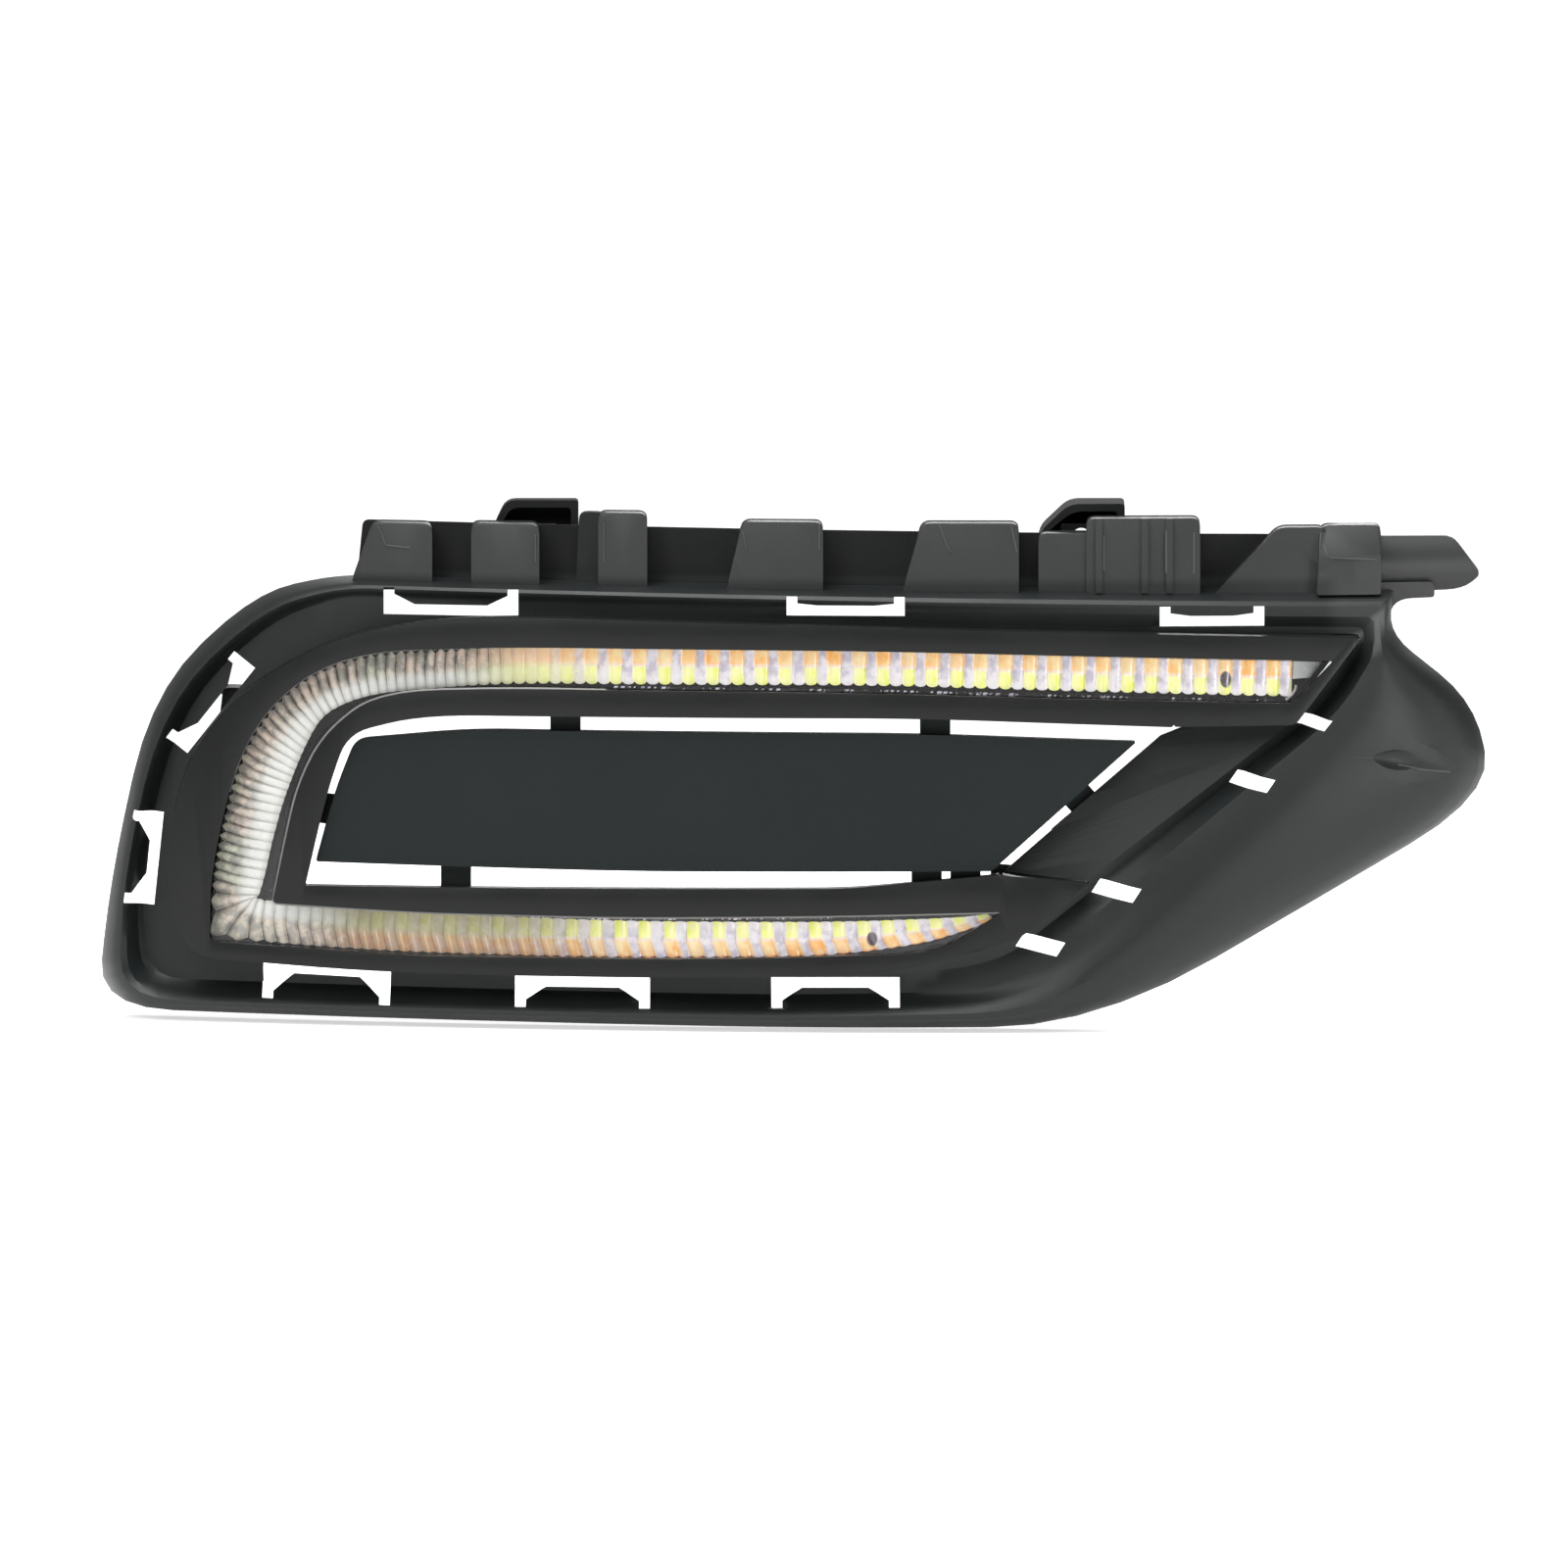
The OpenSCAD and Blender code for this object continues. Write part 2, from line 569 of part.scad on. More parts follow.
module outer_lens() {
    color([0.85, 0.88, 0.9, 0.35]) {
        bowed(lens_depth, lens_back) lens_shape();
        bowed(0.8, lens_depth + tiny) offset(delta = -fit) polygon(shape(window_corners));
    }
}
housing_inset = flange + fit;
module housing_shape() {
    offset(delta = -housing_inset) c_shape();
}
module lens_seal() {
    color("#101010") bowed(lens_back, lens_back + seal_wall) difference() {
        housing_shape();
        offset(delta = -housing_wall) housing_shape();
    }
}
housing_front = lens_back + seal_wall;
ear_reach = 15;
module ear(s) {
    bowed(housing_depth - housing_wall, housing_depth) difference() {
        union() {
            translate(s) circle(boss_r + 0.4);
            translate(s) rotate(ear_angle(s)) translate([0, -boss_r])
                square([ear_reach, 2 * boss_r]);
        }
        translate(s) circle(d = screw_d + 1.2);
    }
}
// Ears on the top row point down, those on the bottom row up and the side one inwards
function ear_angle(s) = s[0] < left + 30 ? 0 : s[1] < -75 ? 90 : -90;
module lamp_housing() {
    color("#5a5d60") {
        bowed(housing_front, housing_depth - housing_wall) difference() {
            housing_shape();
            offset(delta = -housing_wall) housing_shape();
        }
        bowed(housing_depth - housing_wall - tiny, housing_depth) housing_shape();
        for (s = screws) ear(s);
    }
}

// Middle line of the light bar: [x, z, width of the bar, rounding before, rounding after]
bar_corners = [
    [right - 56, -39.3, 10.3, 1, 1], [22, -35.6, 10.3, 20, 20], [-94, -35.7, 11, 20, 20],
    [left + 68.5, -40.5, 12, 22, 20], [left + 48, -64, 17.6, 20, 20], [left + 43, low + 49, 18.2, 14, 14],
    [left + 40.5, low + 30.6, 12.2, 9, 12], [left + 95, low + 28, 11.4, 16, 16],
    [-54, low + 26.9, 10.4, 20, 20], [7, low + 27.6, 9.6, 16, 14], [34, low + 30, 6.8, 9, 6],
    [47, low + 32.4, 3.4, 5, 3], [55, low + 34.6, 1.2, 1, 1]];
bar_line = [for (i = [0:len(bar_corners) - 1])
    each (i == 0 || i == len(bar_corners) - 1) ? [space(bar_corners[i])] : corner_arc(bar_corners, i, 8)];
bar_runs = [for (i = 0, s = 0; i < len(bar_line);
    s = s + (i + 1 < len(bar_line) ? norm(flat(bar_line[i + 1]) - flat(bar_line[i])) : 0), i = i + 1) s];
bar_length = bar_runs[len(bar_runs) - 1];
function bar_table(k) = [for (i = [0:len(bar_line) - 1]) [bar_runs[i], bar_line[i][k]]];
bar_xs = bar_table(0);
bar_zs = bar_table(1);
bar_widths = bar_table(2);
function bar_at(s) = [lookup(s, bar_xs), lookup(s, bar_zs)];
function bar_across(s) = let (d = bar_at(s + 1.5) - bar_at(s - 1.5)) [-d[1], d[0]] / norm(d);
function bar_angle(s) = let (d = bar_at(s + 1.5) - bar_at(s - 1.5)) atan2(d[1], d[0]);
// Point beside the middle line, at a share of half the width of the bar
function bar_beside(s, share, extra) =
    bar_at(s) + bar_across(s) * share * (lookup(s, bar_widths) / 2 + extra);
function bar_strip(from, to, extra) = let (n = ceil((to - from) / 4))
    concat([for (i = [0:n]) bar_beside(mix(from, to, i / n), 1, extra)],
           [for (i = [n:-1:0]) bar_beside(mix(from, to, i / n), -1, extra)]);

optic_depth = housing_front + 1.6;
optic_wall = 2.2;
optic_margin = 0.4;
// The optic ends just short of the slanted end of the upper window and fills the tip of the lower one
bar_from = 4;
bar_to = bar_length - 0.5;
// Inner optic: a ribbon along the bar whose front is folded into flutes
module fluted_optic() {
    n = 2 * floor((bar_to - bar_from) / flute_pitch);
    step = flute_pitch / 2;
    points = [for (i = [0:n]) let (s = bar_from + i * step)
        let (d = optic_depth + (i % 2 == 0 ? flute_height : 0))
        each [for (q = [[1, d], [-1, d], [-1, optic_depth + optic_wall], [1, optic_depth + optic_wall]])
            let (p = bar_beside(s, q[0], optic_margin)) on_bow([p[0], p[1], q[1]])]];
    sides = [for (i = [0:n - 1]) for (k = [0:3]) let (a = 4 * i + k, b = 4 * i + (k + 1) % 4)
        each [[a, a + 4, b + 4], [a, b + 4, b]]];
    color([0.9, 0.9, 0.92, 0.5])
        polyhedron(points, concat([[0, 1, 2, 3]], sides, [[4 * n + 3, 4 * n + 2, 4 * n + 1, 4 * n]]));
}

glue = 0.05;
board_depth = housing_depth - housing_wall - board_wall - glue;
// Stretches of the bar that have a strip of light emitters
strip_break = 5;
upper_run = [bar_from + 2, bar_runs[17]];
corner_run = [upper_run[1] + strip_break, bar_runs[45] - 2];
lower_run = [corner_run[1] + strip_break, bar_length - 34];
led_row = 4.4;
strip_width = led_row + 4.4;
// Outline of even width along a stretch of the bar
function bar_tape(from, to, width) = let (n = ceil((to - from) / 4))
    concat([for (i = [0:n]) let (s = mix(from, to, i / n)) bar_at(s) + bar_across(s) * width / 2],
           [for (i = [n:-1:0]) let (s = mix(from, to, i / n)) bar_at(s) - bar_across(s) * width / 2]);
module led_strip(run) {
    color("#e9ece4") bowed(board_depth, board_depth + board_wall)
        polygon(bar_tape(run[0], run[1], strip_width));
}
module led_strip_upper() { led_strip(upper_run); }
module led_strip_corner() { led_strip(corner_run); }
module led_strip_lower() { led_strip(lower_run); }
link_width = 3.2;
link_lap = 1.6;
link_wall = 0.3;
module strip_links() {
    color("#b57a3a") for (s = [upper_run[1], corner_run[1]])
        bowed(board_depth - link_wall, board_depth)
            polygon(bar_tape(s - link_lap, s + strip_break + link_lap, link_width));
}

led_size = 3;
led_wall = 0.9;
reflector_depth = optic_depth + optic_wall + 1;
reflector_back = board_depth - 1.4;
cell_wall = 0.9;
function led_stations(run) = [for (s = [run[0] + led_pitch / 2:led_pitch:run[1] - led_pitch / 2]) s];
led_places = concat(led_stations(upper_run), led_stations(corner_run), led_stations(lower_run));
module led(s, side) {
    p = bar_at(s) + bar_across(s) * side * led_row / 2;
    translate([p[0], bow_y(p[0], board_depth - glue), p[1]]) rotate([0, 0, bow_turn(p[0])])
        rotate([0, -bar_angle(s), 0]) translate([-led_size / 2, -led_wall, -led_size / 2])
            cube([led_size, led_wall, led_size]);
}
module white_leds() {
    color("#f2e28a") for (s = led_places) led(s, 1);
}
module amber_leds() {
    color("#e88a2c") for (s = led_places) led(s, -1);
}
// Reflector: a ladder of open cells, one row for each colour
module cell(s, side) {
    half = (led_pitch - cell_wall) / 2;
    near = cell_wall / lookup(s, bar_widths);
    polygon([for (q = [[-half, near], [half, near], [half, 1 - 2 * near], [-half, 1 - 2 * near]])
        bar_beside(s + q[0], side * q[1], 0)]);
}
module reflector() {
    color("#c9ccd2") bowed(reflector_depth, reflector_back) difference() {
        polygon(bar_strip(bar_from, bar_to - 14, 0));
        for (s = led_places) for (side = [1, -1]) cell(s, side);
    }
}

// Driver case on the rear of the housing, behind the left side of the C
case_left = left + 29;
case_right = left + 58;
case_low = low + 46;
case_wall = 1.8;
module case_outline(inset) {
    polygon(shape([at(case_left + 3 + inset, case_low + inset, 2),
        at(case_right - 6 - inset, case_low + inset, 2),
        at(case_right - inset, case_low + driver_height - inset, 2),
        at(case_left + 9 + inset, case_low + driver_height - inset, 2)], 4));
}
case_back = housing_depth + driver_depth;
module driver_case() {
    color("#3c3f41") {
        difference() {
            bowed(housing_depth, case_back) case_outline(0);
            bowed(housing_depth + case_wall, case_back + 5) case_outline(case_wall + screw_pad);
            for (s = case_screws) radial(s, case_back, case_screw_d, case_back - 8, case_back + 5);
        }
        connector_shell();
    }
}
screw_pad = 1.7;
case_screw_d = 1.6;
case_screws = [
    [case_left + 5.2, case_low + 2.2], [case_right - 8.2, case_low + 2.2],
    [case_right - 2.2, case_low + driver_height - 2.2], [case_left + 11.2, case_low + driver_height - 2.2]];
// Connector shell, hanging from the low end of the case
socket_depth = 11;
socket_wall = 1.5;
socket_x = case_left + 13;
socket_y = bow_y(socket_x - socket_width / 2, housing_depth) + 0.6;
module connector_shell() {
    translate([socket_x - socket_width / 2, socket_y, case_low - socket_length]) difference() {
        cube([socket_width, socket_depth, socket_length + tiny]);
        translate([socket_wall, socket_wall, -1])
            cube([socket_width - 2 * socket_wall, socket_depth - 2 * socket_wall, socket_length - 1]);
    }
}
pin_size = 0.8;
pin_count = 4;
pin_pitch = 3.6;
pin_recess = 7;
module connector_pins() {
    color("#c8a248") for (i = [0:pin_count - 1])
        translate([socket_x + (i - (pin_count - 1) / 2) * pin_pitch - pin_size / 2,
                   socket_y + socket_depth / 2 - pin_size / 2, case_low - socket_length + pin_recess])
            cube([pin_size, pin_size, socket_length - pin_recess - 2]);
}
module driver_seal() {
    color("#151515") bowed(case_back, case_back + seal_wall) difference() {
        case_outline(fit);
        case_outline(case_wall + screw_pad);
        for (s = case_screws) translate(s) circle(d = case_screw_d + 1, $fn = 24);
    }
}
cover_wall = 2;
module driver_cover() {
    color("#484b4d") bowed(case_back + seal_wall, case_back + seal_wall + cover_wall) difference() {
        case_outline(fit);
        for (s = case_screws) translate(s) circle(d = case_screw_d + 1.4, $fn = 24);
    }
}
cover_back = case_back + seal_wall + cover_wall;
module cover_screws() {
    color("#b8bcc0") for (s = case_screws) {
        radial(s, case_back, case_screw_d - 0.1, case_back - 6, cover_back + 0.3);
        radial(s, case_back, 3.6, cover_back + glue, cover_back + 1.4);
    }
}
driver_board_depth = housing_depth + case_wall + 3;
module driver_board() {
    color("#2f6b46") bowed(driver_board_depth, driver_board_depth + 1.4)
        case_outline(case_wall + screw_pad + fit);
}
board_top = driver_board_depth + 1.4;
// Middle of the sloping case at a height above its middle
function board_place(dx, dz) =
    [(case_left + case_right) / 2 + 1.5 + dx + dz * 6 / driver_height, case_low + driver_height / 2 + dz];
module on_board(dx, dz, size) {
    p = board_place(dx, dz);
    translate([p[0], bow_y(p[0], board_top + 2 * glue), p[1]]) rotate([0, 0, bow_turn(p[0])])
        translate([-size[0] / 2, 0, -size[2] / 2]) cube(size);
}
module driver_parts() {
    color("#26282a") {
        on_board(0, 6, [7, 2, 7]);
        on_board(2, 16, [5, 1.8, 4]);
        on_board(-1.5, -17, [6, 1.8, 4]);
        on_board(4, -4, [2, 1.4, 5]);
    }
}
module driver_coil() {
    color("#4d4d52") radial(board_place(-1.5, -7), board_top, 7.5, board_top + 2 * glue, board_top + 5);
}

// Breather in the rear of the housing
vent_x = -40;
module vent_plug() {
    color("#1c1c1c") {
        radial([vent_x, -36], housing_depth, 9, housing_depth + glue, housing_depth + 3);
        radial([vent_x, -36], housing_depth, 12, housing_depth + 2.9, housing_depth + 4.5);
    }
}
module housing_screws() {
    color("#aeb3b8") for (s = screws) {
        radial(s, housing_depth, pilot - 0.1, floor_depth + 4, housing_depth + 0.3);
        radial(s, housing_depth, screw_d + 3, housing_depth + glue, housing_depth + 2.2);
    }
}

// Spring steel nuts that clip over the mounting lugs
clip_wall = 0.9;
clip_width = 12;
module nut_clip(x) {
    difference() {
        translate([x - clip_width / 2, -lug_wall - clip_wall, tower_low - clip_wall])
            cube([clip_width, lug_wall + clip_wall, 14]);
        translate([x - clip_width / 2 - 1, -lug_wall, tower_low]) cube([clip_width + 2, lug_wall + 1, 30]);
        translate([x, 1, 0]) rotate([90, 0, 0]) cylinder(d = mount_bore + 0.1, h = lug_wall + 6);
    }
}
module nut_clips() {
    color("#8b9094") for (x = [-mount_x, mount_x]) nut_clip(x);
}

bezel_frame();
centre_blank();
lamp_trim();
outer_lens();
fluted_optic();
reflector();
lens_seal();
lamp_housing();
led_strip_upper();
led_strip_corner();
led_strip_lower();
white_leds();
amber_leds();
strip_links();
driver_case();
driver_seal();
driver_board();
driver_parts();
driver_coil();
driver_cover();
cover_screws();
connector_pins();
vent_plug();
housing_screws();
nut_clips();
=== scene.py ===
# Looks of a daytime running light for the corner of a bumper.
# Lengths are in metres: +X right seen from the front, +Y to the rear, +Z up.
from math import cos, floor, pi, radians, sin, sqrt

import bmesh
import bpy
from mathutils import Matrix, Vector
from mathutils.bvhtree import BVHTree


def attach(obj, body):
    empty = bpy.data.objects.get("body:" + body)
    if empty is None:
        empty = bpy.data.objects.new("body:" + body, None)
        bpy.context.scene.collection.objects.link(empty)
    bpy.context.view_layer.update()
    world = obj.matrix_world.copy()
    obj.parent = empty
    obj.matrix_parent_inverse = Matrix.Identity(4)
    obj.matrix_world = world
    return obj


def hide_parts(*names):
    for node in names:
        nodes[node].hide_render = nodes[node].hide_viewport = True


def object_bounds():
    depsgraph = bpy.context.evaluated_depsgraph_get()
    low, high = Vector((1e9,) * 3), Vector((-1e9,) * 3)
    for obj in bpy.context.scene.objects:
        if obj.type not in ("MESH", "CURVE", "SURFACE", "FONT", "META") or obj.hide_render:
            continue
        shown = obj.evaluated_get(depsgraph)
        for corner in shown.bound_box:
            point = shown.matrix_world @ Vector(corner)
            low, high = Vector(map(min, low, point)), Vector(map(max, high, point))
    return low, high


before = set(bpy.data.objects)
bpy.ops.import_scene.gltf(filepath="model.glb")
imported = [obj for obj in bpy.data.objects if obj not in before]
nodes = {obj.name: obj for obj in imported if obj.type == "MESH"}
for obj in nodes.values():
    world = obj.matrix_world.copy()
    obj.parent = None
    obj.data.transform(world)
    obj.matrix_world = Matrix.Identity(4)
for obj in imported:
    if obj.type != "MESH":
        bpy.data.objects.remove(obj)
cad_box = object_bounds()
mm = 0.001

# Sizes shared with the solids, in millimetres
left = -212.0
right = 203.0
low = -144.0
bow_r = 650.0
bow_x = 60.0
mount_x = 81.0
lug_depth = 39.0
led_pitch = 7.2
flute_pitch = 3.6
bow_home = bow_r - sqrt((bow_r - lug_depth) ** 2 - (mount_x + bow_x) ** 2)

# The picture: millimetres to a pixel, its size in pixels, and how far the camera looks down
pixel = 0.29
picture = 1600
camera_tilt = radians(4)


def bow_y(x, depth):
    """Place along Y of a point at a depth behind the upright datum arc."""
    return bow_r - sqrt((bow_r - depth) ** 2 - (x - bow_x) ** 2) - bow_home


def on_bow(x, z, depth):
    return Vector((x, bow_y(x, depth), z)) * mm


def depth_of(place):
    """Depth behind the datum arc, in millimetres, of a place in metres."""
    return bow_r - sqrt((bow_r - bow_home - place.y / mm) ** 2 + (place.x / mm - bow_x) ** 2)


# Node helpers


def add(tree, kind, **settings):
    node = tree.nodes.new(kind)
    for key, value in settings.items():
        setattr(node, key, value)
    return node


def feed(tree, socket, source):
    """Joins a socket to another, or sets it to a plain value."""
    if isinstance(source, bpy.types.NodeSocket):
        tree.links.new(source, socket)
    elif isinstance(source, (tuple, list)) and len(source) == 3 and socket.type == "RGBA":
        socket.default_value = (*source, 1.0)
    else:
        socket.default_value = source


def maths(tree, kind, a, b=0.0, c=0.0, clamp=False):
    node = add(tree, "ShaderNodeMath", operation=kind, use_clamp=clamp)
    for socket, value in zip(node.inputs, (a, b, c)):
        feed(tree, socket, value)
    return node.outputs[0]


def times(tree, a, b):
    return maths(tree, "MULTIPLY", a, b)


def less(tree, a, b):
    return maths(tree, "SUBTRACT", a, b)


def split(tree, source):
    """The X, Y and Z of a vector."""
    node = add(tree, "ShaderNodeSeparateXYZ")
    feed(tree, node.inputs[0], source)
    return node.outputs[0], node.outputs[1], node.outputs[2]


def ramp_between(tree, value, low_end, high_end, to_low=0.0, to_high=1.0):
    """Smooth step from to_low at low_end to to_high at high_end."""
    node = add(tree, "ShaderNodeMapRange", interpolation_type="SMOOTHSTEP")
    for name, entry in (("Value", value), ("From Min", low_end), ("From Max", high_end),
                        ("To Min", to_low), ("To Max", to_high)):
        feed(tree, node.inputs[name], entry)
    return node.outputs["Result"]


def mixed(tree, share, a, b):
    """Colour between a and b. Inputs 6 and 7 and output 2 are the node's colour sockets."""
    node = add(tree, "ShaderNodeMix", data_type="RGBA")
    feed(tree, node.inputs[0], share)
    feed(tree, node.inputs[6], a)
    feed(tree, node.inputs[7], b)
    return node.outputs[2]


def noise(tree, place, scale, detail=2.0, roughness=0.5):
    node = add(tree, "ShaderNodeTexNoise")
    feed(tree, node.inputs["Vector"], place)
    node.inputs["Scale"].default_value = scale
    node.inputs["Detail"].default_value = detail
    node.inputs["Roughness"].default_value = roughness
    return node.outputs["Fac"]


def group(name, inputs, outputs):
    """Empty shader node group with named inputs and outputs."""
    tree = bpy.data.node_groups.new(name, "ShaderNodeTree")
    kinds = {"float": "NodeSocketFloat", "colour": "NodeSocketColor", "vector": "NodeSocketVector"}
    for label, kind, value in inputs:
        socket = tree.interface.new_socket(label, in_out="INPUT", socket_type=kinds[kind])
        if kind == "colour":
            socket.default_value = (*value, 1.0)
        elif kind == "float":
            socket.default_value = value
    for label, kind in outputs:
        tree.interface.new_socket(label, in_out="OUTPUT", socket_type=kinds[kind])
    return tree, add(tree, "NodeGroupInput").outputs, add(tree, "NodeGroupOutput").inputs


def moulded_grain():
    """Fine spark eroded grain with patches of slightly different gloss."""
    tree, given, put = group(
        "moulded_grain",
        [("Place", "vector", None), ("Colour", "colour", (0.02, 0.02, 0.02)),
         ("Worn colour", "colour", (0.05, 0.05, 0.05)), ("Roughness", "float", 0.5),
         ("Grain size", "float", 1.0), ("Patch", "float", 0.5)],
        [("Colour", "colour"), ("Roughness", "float"), ("Height", "float")])
    place = add(tree, "ShaderNodeVectorMath", operation="SCALE")
    feed(tree, place.inputs[0], given["Place"])
    feed(tree, place.inputs["Scale"], given["Grain size"])
    fine = noise(tree, place.outputs[0], 2600.0, 2.0, 0.6)
    cells = add(tree, "ShaderNodeTexVoronoi")
    feed(tree, cells.inputs["Vector"], place.outputs[0])
    cells.inputs["Scale"].default_value = 1500.0
    patches = noise(tree, given["Place"], 28.0, 3.0, 0.55)
    patch = ramp_between(tree, patches, 0.35, 0.7)
    height = maths(tree, "MULTIPLY_ADD", cells.outputs["Distance"], 0.5, fine)
    feed(tree, put["Height"], height)
    faded = times(tree, times(tree, patch, given["Patch"]), 0.35)
    speck = times(tree, ramp_between(tree, fine, 0.52, 0.72), 0.22)
    share = maths(tree, "ADD", faded, speck, clamp=True)
    feed(tree, put["Colour"], mixed(tree, share, given["Colour"], given["Worn colour"]))
    spread = times(tree, less(tree, patch, 0.5), times(tree, given["Patch"], 0.12))
    rough = maths(tree, "ADD", given["Roughness"], spread)
    feed(tree, put["Roughness"], maths(tree, "MULTIPLY_ADD", fine, 0.08, rough, clamp=True))
    return tree


grain_group = moulded_grain()


def material(name, **sockets):
    """New material with its Principled shader, object coordinates and plain settings."""
    made = bpy.data.materials.new(name)
    made.use_nodes = True
    tree = made.node_tree
    shader = tree.nodes["Principled BSDF"]
    for socket, value in sockets.items():
        feed(tree, shader.inputs[socket.replace("_", " ")], value)
    place = add(tree, "ShaderNodeTexCoord").outputs["Object"]
    return made, tree, shader, place


def bumped(tree, shader, height, strength, distance):
    bump = add(tree, "ShaderNodeBump")
    bump.inputs["Strength"].default_value = strength
    bump.inputs["Distance"].default_value = distance
    feed(tree, bump.inputs["Height"], height)
    feed(tree, shader.inputs["Normal"], bump.outputs[0])


def plastic(name, colour, worn, roughness, grain=1.0, patch=0.5, bump=0.25, **sockets):
    """Moulded plastic with grain."""
    made, tree, shader, place = material(name, **sockets)
    skin = add(tree, "ShaderNodeGroup", node_tree=grain_group)
    for label, value in (("Place", place), ("Colour", colour), ("Worn colour", worn),
                         ("Roughness", roughness), ("Grain size", grain), ("Patch", patch)):
        feed(tree, skin.inputs[label], value)
    feed(tree, shader.inputs["Base Color"], skin.outputs["Colour"])
    feed(tree, shader.inputs["Roughness"], skin.outputs["Roughness"])
    bumped(tree, shader, skin.outputs["Height"], bump, 0.00006)
    return made


def metal(name, colour, worn, roughness, bump=0.2):
    """Plated or spring steel with fine brushing."""
    made, tree, shader, place = material(name, Metallic=1.0)
    drawn = add(tree, "ShaderNodeMapping")
    feed(tree, drawn.inputs["Vector"], place)
    drawn.inputs["Scale"].default_value = (1.0, 1.0, 14.0)
    lines = noise(tree, drawn.outputs[0], 420.0, 3.0, 0.6)
    spots = noise(tree, place, 260.0, 3.0, 0.6)
    feed(tree, shader.inputs["Base Color"], mixed(tree, ramp_between(tree, spots, 0.45, 0.7), colour, worn))
    feed(tree, shader.inputs["Roughness"], maths(tree, "MULTIPLY_ADD", lines, 0.2, roughness - 0.1))
    bumped(tree, shader, lines, bump, 0.00004)
    return made


def moulding_finish():
    """Black plastic of the frame, with painted light that makes the rail's proud faces and the horn greyer,
    and painted shade that darkens its recesses, which are also duller.
    """
    made = plastic("frame_black_plastic", (0.0085, 0.0105, 0.0105), (0.016, 0.018, 0.018), 0.42,
                   grain=1.0, patch=0.6, bump=0.3, Specular_IOR_Level=0.34)
    painted_light_grey = (0.026, 0.027, 0.027)
    painted_shade_black = (0.0052, 0.0058, 0.0058)
    tree = made.node_tree
    shader = tree.nodes["Principled BSDF"]
    skin = shader.inputs["Base Color"].links[0].from_socket
    gloss = shader.inputs["Roughness"].links[0].from_socket
    x, y, z = split(tree, add(tree, "ShaderNodeTexCoord").outputs["Object"])
    across = less(tree, x, bow_x * mm)
    back = less(tree, y, (bow_r - bow_home) * mm)
    far = maths(tree, "SQRT", maths(tree, "ADD", times(tree, across, across), times(tree, back, back)))
    depth = less(tree, bow_r * mm, far)
    on_rail = ramp_between(tree, z, -0.0125, -0.009)
    proud = times(tree, on_rail, ramp_between(tree, depth, 0.0165, 0.0185, 1.0, 0.0))
    sunk = times(tree, on_rail, ramp_between(tree, depth, 0.018, 0.025))
    on_horn = times(tree, ramp_between(tree, x, 0.152, 0.158), ramp_between(tree, z, -0.030, -0.022))
    # Painted light: the rail's proud faces and the horn are lightened to grey.
    tint = mixed(tree, maths(tree, "MAXIMUM", proud, on_horn), skin, painted_light_grey)
    sunk = times(tree, sunk, less(tree, 1.0, on_horn))
    # Painted shade: the rail's recesses are darkened; their higher roughness is the real dull finish.
    feed(tree, shader.inputs["Base Color"], mixed(tree, sunk, tint, painted_shade_black))
    feed(tree, shader.inputs["Roughness"], maths(tree, "MULTIPLY_ADD", sunk, 0.45, gloss, clamp=True))
    return made


frame_plastic = moulding_finish()
blank_plastic = plastic("blank_black_plastic", (0.007, 0.0105, 0.0105), (0.012, 0.016, 0.016), 0.5,
                        grain=1.1, patch=0.5, bump=0.3, Specular_IOR_Level=0.2)
trim_plastic = plastic("trim_grey_plastic", (0.0085, 0.009, 0.009), (0.016, 0.0165, 0.0165), 0.34,
                       grain=1.5, patch=0.5, bump=0.12, Specular_IOR_Level=0.22)
housing_plastic = plastic("housing_grey_plastic", (0.050, 0.053, 0.056), (0.085, 0.088, 0.09), 0.5,
                          grain=0.8, patch=0.8, bump=0.3)
case_plastic = plastic("case_black_plastic", (0.024, 0.025, 0.027), (0.045, 0.046, 0.048), 0.46,
                       grain=1.2, patch=0.7, bump=0.3)
part_plastic = plastic("part_black_resin", (0.02, 0.02, 0.021), (0.05, 0.05, 0.05), 0.4,
                       grain=2.0, patch=0.6, bump=0.2)
seal_rubber = plastic("seal_black_rubber", (0.010, 0.010, 0.010), (0.03, 0.03, 0.03), 0.75,
                      grain=0.8, patch=0.8, bump=0.4)
board_white = plastic("board_white_mask", (0.62, 0.64, 0.60), (0.72, 0.73, 0.70), 0.35,
                      grain=1.5, patch=0.5, bump=0.1)
board_green = plastic("board_green_mask", (0.015, 0.10, 0.045), (0.05, 0.18, 0.09), 0.3,
                      grain=1.5, patch=0.5, bump=0.1)
coil_grey = plastic("coil_grey_ferrite", (0.05, 0.05, 0.056), (0.10, 0.10, 0.11), 0.6,
                    grain=2.0, patch=0.8, bump=0.4)
white_phosphor = plastic("white_led_phosphor", (0.80, 0.72, 0.18), (0.90, 0.84, 0.36), 0.4,
                         grain=2.0, patch=0.5, bump=0.1)
amber_phosphor = plastic("amber_led_phosphor", (0.82, 0.30, 0.05), (0.9, 0.45, 0.12), 0.4,
                         grain=2.0, patch=0.5, bump=0.1)
# Near black of the carrier: painted shade of the housing's interior beside the flutes.
carrier_shade_finish = plastic("carrier_painted_shade_plastic", (0.006, 0.0048, 0.0042), (0.014, 0.011, 0.0095), 0.5,
                          grain=1.5, patch=0.5, bump=0.15, Specular_IOR_Level=0.15)
# Pale grey of the window's lip: a painted highlight along the edges of the window.
lip_highlight_finish = plastic("lip_painted_highlight_plastic", (0.16, 0.155, 0.15), (0.24, 0.235, 0.23), 0.24,
                      grain=2.0, patch=0.6, bump=0.08)
